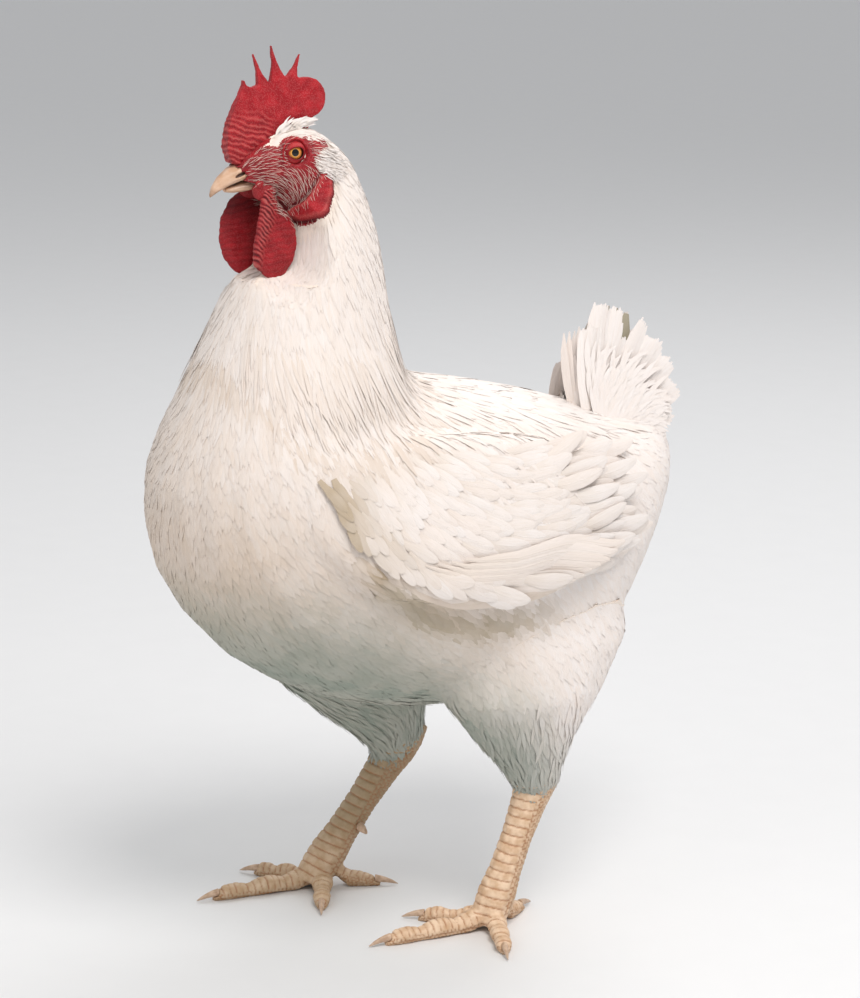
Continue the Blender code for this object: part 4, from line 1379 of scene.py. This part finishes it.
def tail_feathers(side):
    """Broad feathers fanned from the root, each of loose strips with an uneven square end."""
    sign = SIDES[side]
    rng = np.random.default_rng(51 + sign)
    coat = Coat()
    t = np.array((0, 0.12, 0.26, 0.42, 0.58, 0.72, 0.84, 0.93, 1.0))
    strip = np.array((0.35, 0.6, 0.85, 1.0, 1.0, 1.0, 0.95, 0.8, 0.25))
    places = np.linspace(-1, 1, 9)
    lengths = [fan[1] * grown for fan, grown in zip(TAIL_FAN, GROWING[side] + (1,) * 6)]
    for i, (lean, _) in enumerate(TAIL_FAN):
        angle = np.radians(lean + rng.normal(0, 0.8)) + places * 0.018
        length = lengths[i] * rng.uniform(0.962, 1.0, 9) * (1 - 0.03 * np.abs(places) ** 3)
        notch = {2: smooth(0.1, 0.8, places), 3: smooth(0.1, -0.6, places)}.get(i, 0)
        length = length * (1 - 0.17 * notch)
        swing = angle[:, None] + np.radians(-5) * t**2
        away = length[:, None] * t
        spread = places[:, None] * 0.0088 * smooth(-0.10, 0.55, t)
        y = TAIL_Y - 0.004 + away * np.cos(swing) + spread * np.sin(swing)
        z = TAIL_Z + away * np.sin(swing) - spread * np.cos(swing)
        out = leaf_out(z, len(TAIL_FAN) - i) - 0.0003 * np.abs(places[:, None])
        normal = columns(sign * 0.985, places * 0.25, 0.17)[:, None]
        half = 0.0026 * strip * rng.uniform(0.85, 1.15, (9, 1))
        coat.add(columns(MID + sign * out, y, z), unit(normal), half, 0, 0.0003, 0.95,
                 rng.random(9) * 0.5, crown=0.03)
    # Coverts in rows over the leaf, shorter towards its root.
    t = np.linspace(0, 1, 6)
    for start, run, count, wide in TAIL_COVERTS:
        lean = np.radians(np.linspace(100, 2, count) + rng.normal(0, 4, count))
        away = start * rng.uniform(0.8, 1.15, count)
        length = run * rng.uniform(0.85, 1.2, count) * (1 - 0.25 * smooth(1.7, 2.0, lean))
        most = np.interp(-lean, [-np.radians(fan[0]) for fan in TAIL_FAN], lengths)
        reach = np.clip(0.88 * most - away, 0.004, length)[:, None] * t
        swing = lean[:, None] - np.radians(16) * t**1.5 * rng.uniform(0, 2, (count, 1))
        root = rayed(TAIL_Y - 0.002, TAIL_Z + 0.004, away, lean)
        y, z = rayed(root[0][:, None], root[1][:, None], reach, swing)
        lift = 0.0004 + (0.040 - start) * 0.05 + 0.0004 * t * rng.random((count, 1))
        out = leaf_out(z, 9) + lift + 0.0006 * np.sin(np.pi * t)
        half = wide * round_widths(t, 0.5) * rng.uniform(0.8, 1.15, (count, 1))
        coat.add(columns(MID + sign * out, y, z), unit(np.array((sign * 0.96, -0.1, 0.25))), half,
                 0, 0.0002, 0.97, rng.random(count) * 0.6, crown=0.05)
    coat.piece(f"tail_feathers_{side}")


def tail_filling():
    """Soft feathers that close the space between the two leaves, with two deep inside painted with
    shade.
    """
    rng = np.random.default_rng(91)
    coat = Coat()
    t = np.linspace(0, 1, 7)
    count = 210
    share = rng.random(count)
    lean = np.radians(98 - 48 * share + rng.normal(0, 3, count))
    across = rng.uniform(-1, 1, count)
    full = 0.088 - 0.010 * share
    full = full * (1 - 0.38 * smooth(0.35, -0.25, across) * smooth(0.60, 0.25, share))
    length = full * rng.uniform(0.45, 1.0, count)
    start = rng.uniform(0.006, 0.016, count)
    swing = lean[:, None] - 0.10 * t**2
    reach = start[:, None] + (length - start)[:, None] * t
    y, z = rayed(TAIL_Y - 0.012 + 0.010 * share[:, None], TAIL_Z + 0.004, reach, swing)
    line = columns(MID + across[:, None] * (leaf_out(z, 0) - 0.0005), y, z)
    normal = columns(0.75 * across, -0.75, 0.45)[:, None]
    half = 0.0032 * round_widths(t, 0.6) * rng.uniform(0.8, 1.2, (count, 1))
    coat.add(line, unit(normal), half, 0, 0.0002, 0.9, rng.random(count), crown=0.14)
    # Two feathers painted tan and dusky as the shade in the notch at the top of the fan, where
    # their tips show.
    lean = np.radians(np.array((76.0, 70.5)))[:, None]
    reach = np.array((0.1010, 0.0990))[:, None] * (0.35 + 0.65 * t)
    y, z = rayed(TAIL_Y - 0.004, TAIL_Z, reach, lean)
    half = 0.0064 * vane_widths(t, 0.7, 0.6, 0.3) * np.ones((2, 1))
    for sign in SIDES.values():
        line = columns(MID + sign * (leaf_out(z, 0) - 0.0006), y, z)
        coat.add(line, unit(np.array((sign, 0, 0.2))), half, 0, 0.0002, 0.6, 0.0, 1.0, 0.6, 0.1)
    coat.piece("tail_filling")


# ---- the bird

FINISH = {
    "plumage": plumage_finish("plumage", (0.86, 0.78, 0.71), (0.91, 0.855, 0.825),
                              (0.885, 0.785, 0.715)),
    "eye": eye_finish(),
    "horn": beak_finish(),
    "claw": claw_finish(),
    "bristle": plumage_finish("bristles", (0.56, 0.22, 0.18), (0.80, 0.60, 0.52),
                              (0.90, 0.80, 0.72)),
}


def filled(obj):
    """Its points, pushed out where the body has a narrow fold that the coat bridges."""
    points, normals = shape_of(obj.data)
    slack = soften(placed("slack", obj.data.copy()), 40)
    rise = ((points_of(slack.data) - points) * normals).sum(1)
    bpy.data.objects.remove(slack)
    rise = np.clip(rise, 0, 0.0028) * smooth(0.47, 0.44, points[:, 2])
    return points + normals * rise[:, None]


skin = make_skin()
crown_feathers()
form_body = moulded("form", BODY_NODES + ("shank_left", "shank_right"), 0.0025, 8)
set_points(form_body.data, tucked(filled(form_body)))
form = Surface(form_body.data)
face = Surface(skin.data)
bpy.data.objects.remove(form_body)
rng = np.random.default_rng(7)

grow_coat("contour_feathers", form, on_body, 200000, 5, 0.0004, 0.85, 0.12, broad=1.40,
          shrink=0.80, stain=stain_of, dusk=dusk_of)
grow_coat("hackles", form, in_cape, 120000, 6, 0.0004, 0.85, 0.06, broad=1.55, shrink=0.80,
          stain=stain_of)
grow_coat("shoulder_feathers", form, on_shoulder, 20000, 7, 0.0010, 0.80, 0.14, shoulder_sizes,
          sink=0.4, stain=lambda points: stain_of(points) + 0.04)
grow_coat("thigh_down", form, on_thigh, 60000, 6, 0.0014, 0.85, 0.20, thigh_sizes, sink=0.2,
          stain=stain_of, dusk=lambda points: 0.9 * dusk_of(points))
# The hem's feathers take more tan, as painted shade along the cape's hem.
grow_coat("cape_hem", form, at_hem, 30000, 8, 0.0012, 0.85, 0.09,
          even_sizes(0.044, 0.0024, 0.0030), sink=0.3, stain=lambda points: stain_of(points) + 0.10)
for side in SIDES:
    wing_feathers(side)
    tail_feathers(side)
tail_filling()
grow_coat("face_bristles", face, on_face, 30000, 4, 0.0009, 0.3, 0.16, bristle_sizes, sink=0.05,
          thick=0.00018, way=bristle_way, finish="bristle")
grow_coat("ear_tufts", face, at_ear, 8000, 4, 0.0022, 0.5, 0.14,
          even_sizes(0.0075, 0.00075, 0.00085), sink=0.1, thick=0.0002, way=ear_way)
for side in SIDES:
    make_eye(side)
for node in ("beak_upper", "beak_lower"):
    make_beak(node)
for side in SIDES:
    make_claw(f"spur_{side}")
    for toe in TOES:
        make_claw(f"claw_{toe}_{side}")

# ---- the studio

add_camera()
add_light("key light", 84, 56, 2.6, 1.3, 42, (1.0, 0.97, 0.95))
add_light("fill light", 15, 32, 3.0, 2.2, 9, (1.0, 0.97, 0.93))
add_light("back light", 215, 50, 2.8, 1.6, 22)
world = bpy.data.worlds.new("studio")
bpy.context.scene.world = world
world.use_nodes = True
background = world.node_tree.nodes["Background"].inputs
background["Color"].default_value = (0.90, 0.91, 0.93, 1)
background["Strength"].default_value = 0.58
bpy.context.scene.view_settings.view_transform = "Standard"
floor = mesh_object("floor", [(-30, -30, 0), (30, -30, 0), (30, 30, 0), (-30, 30, 0)],
                    [(0, 1, 2, 3)])
floor.data.materials.append(floor_finish())
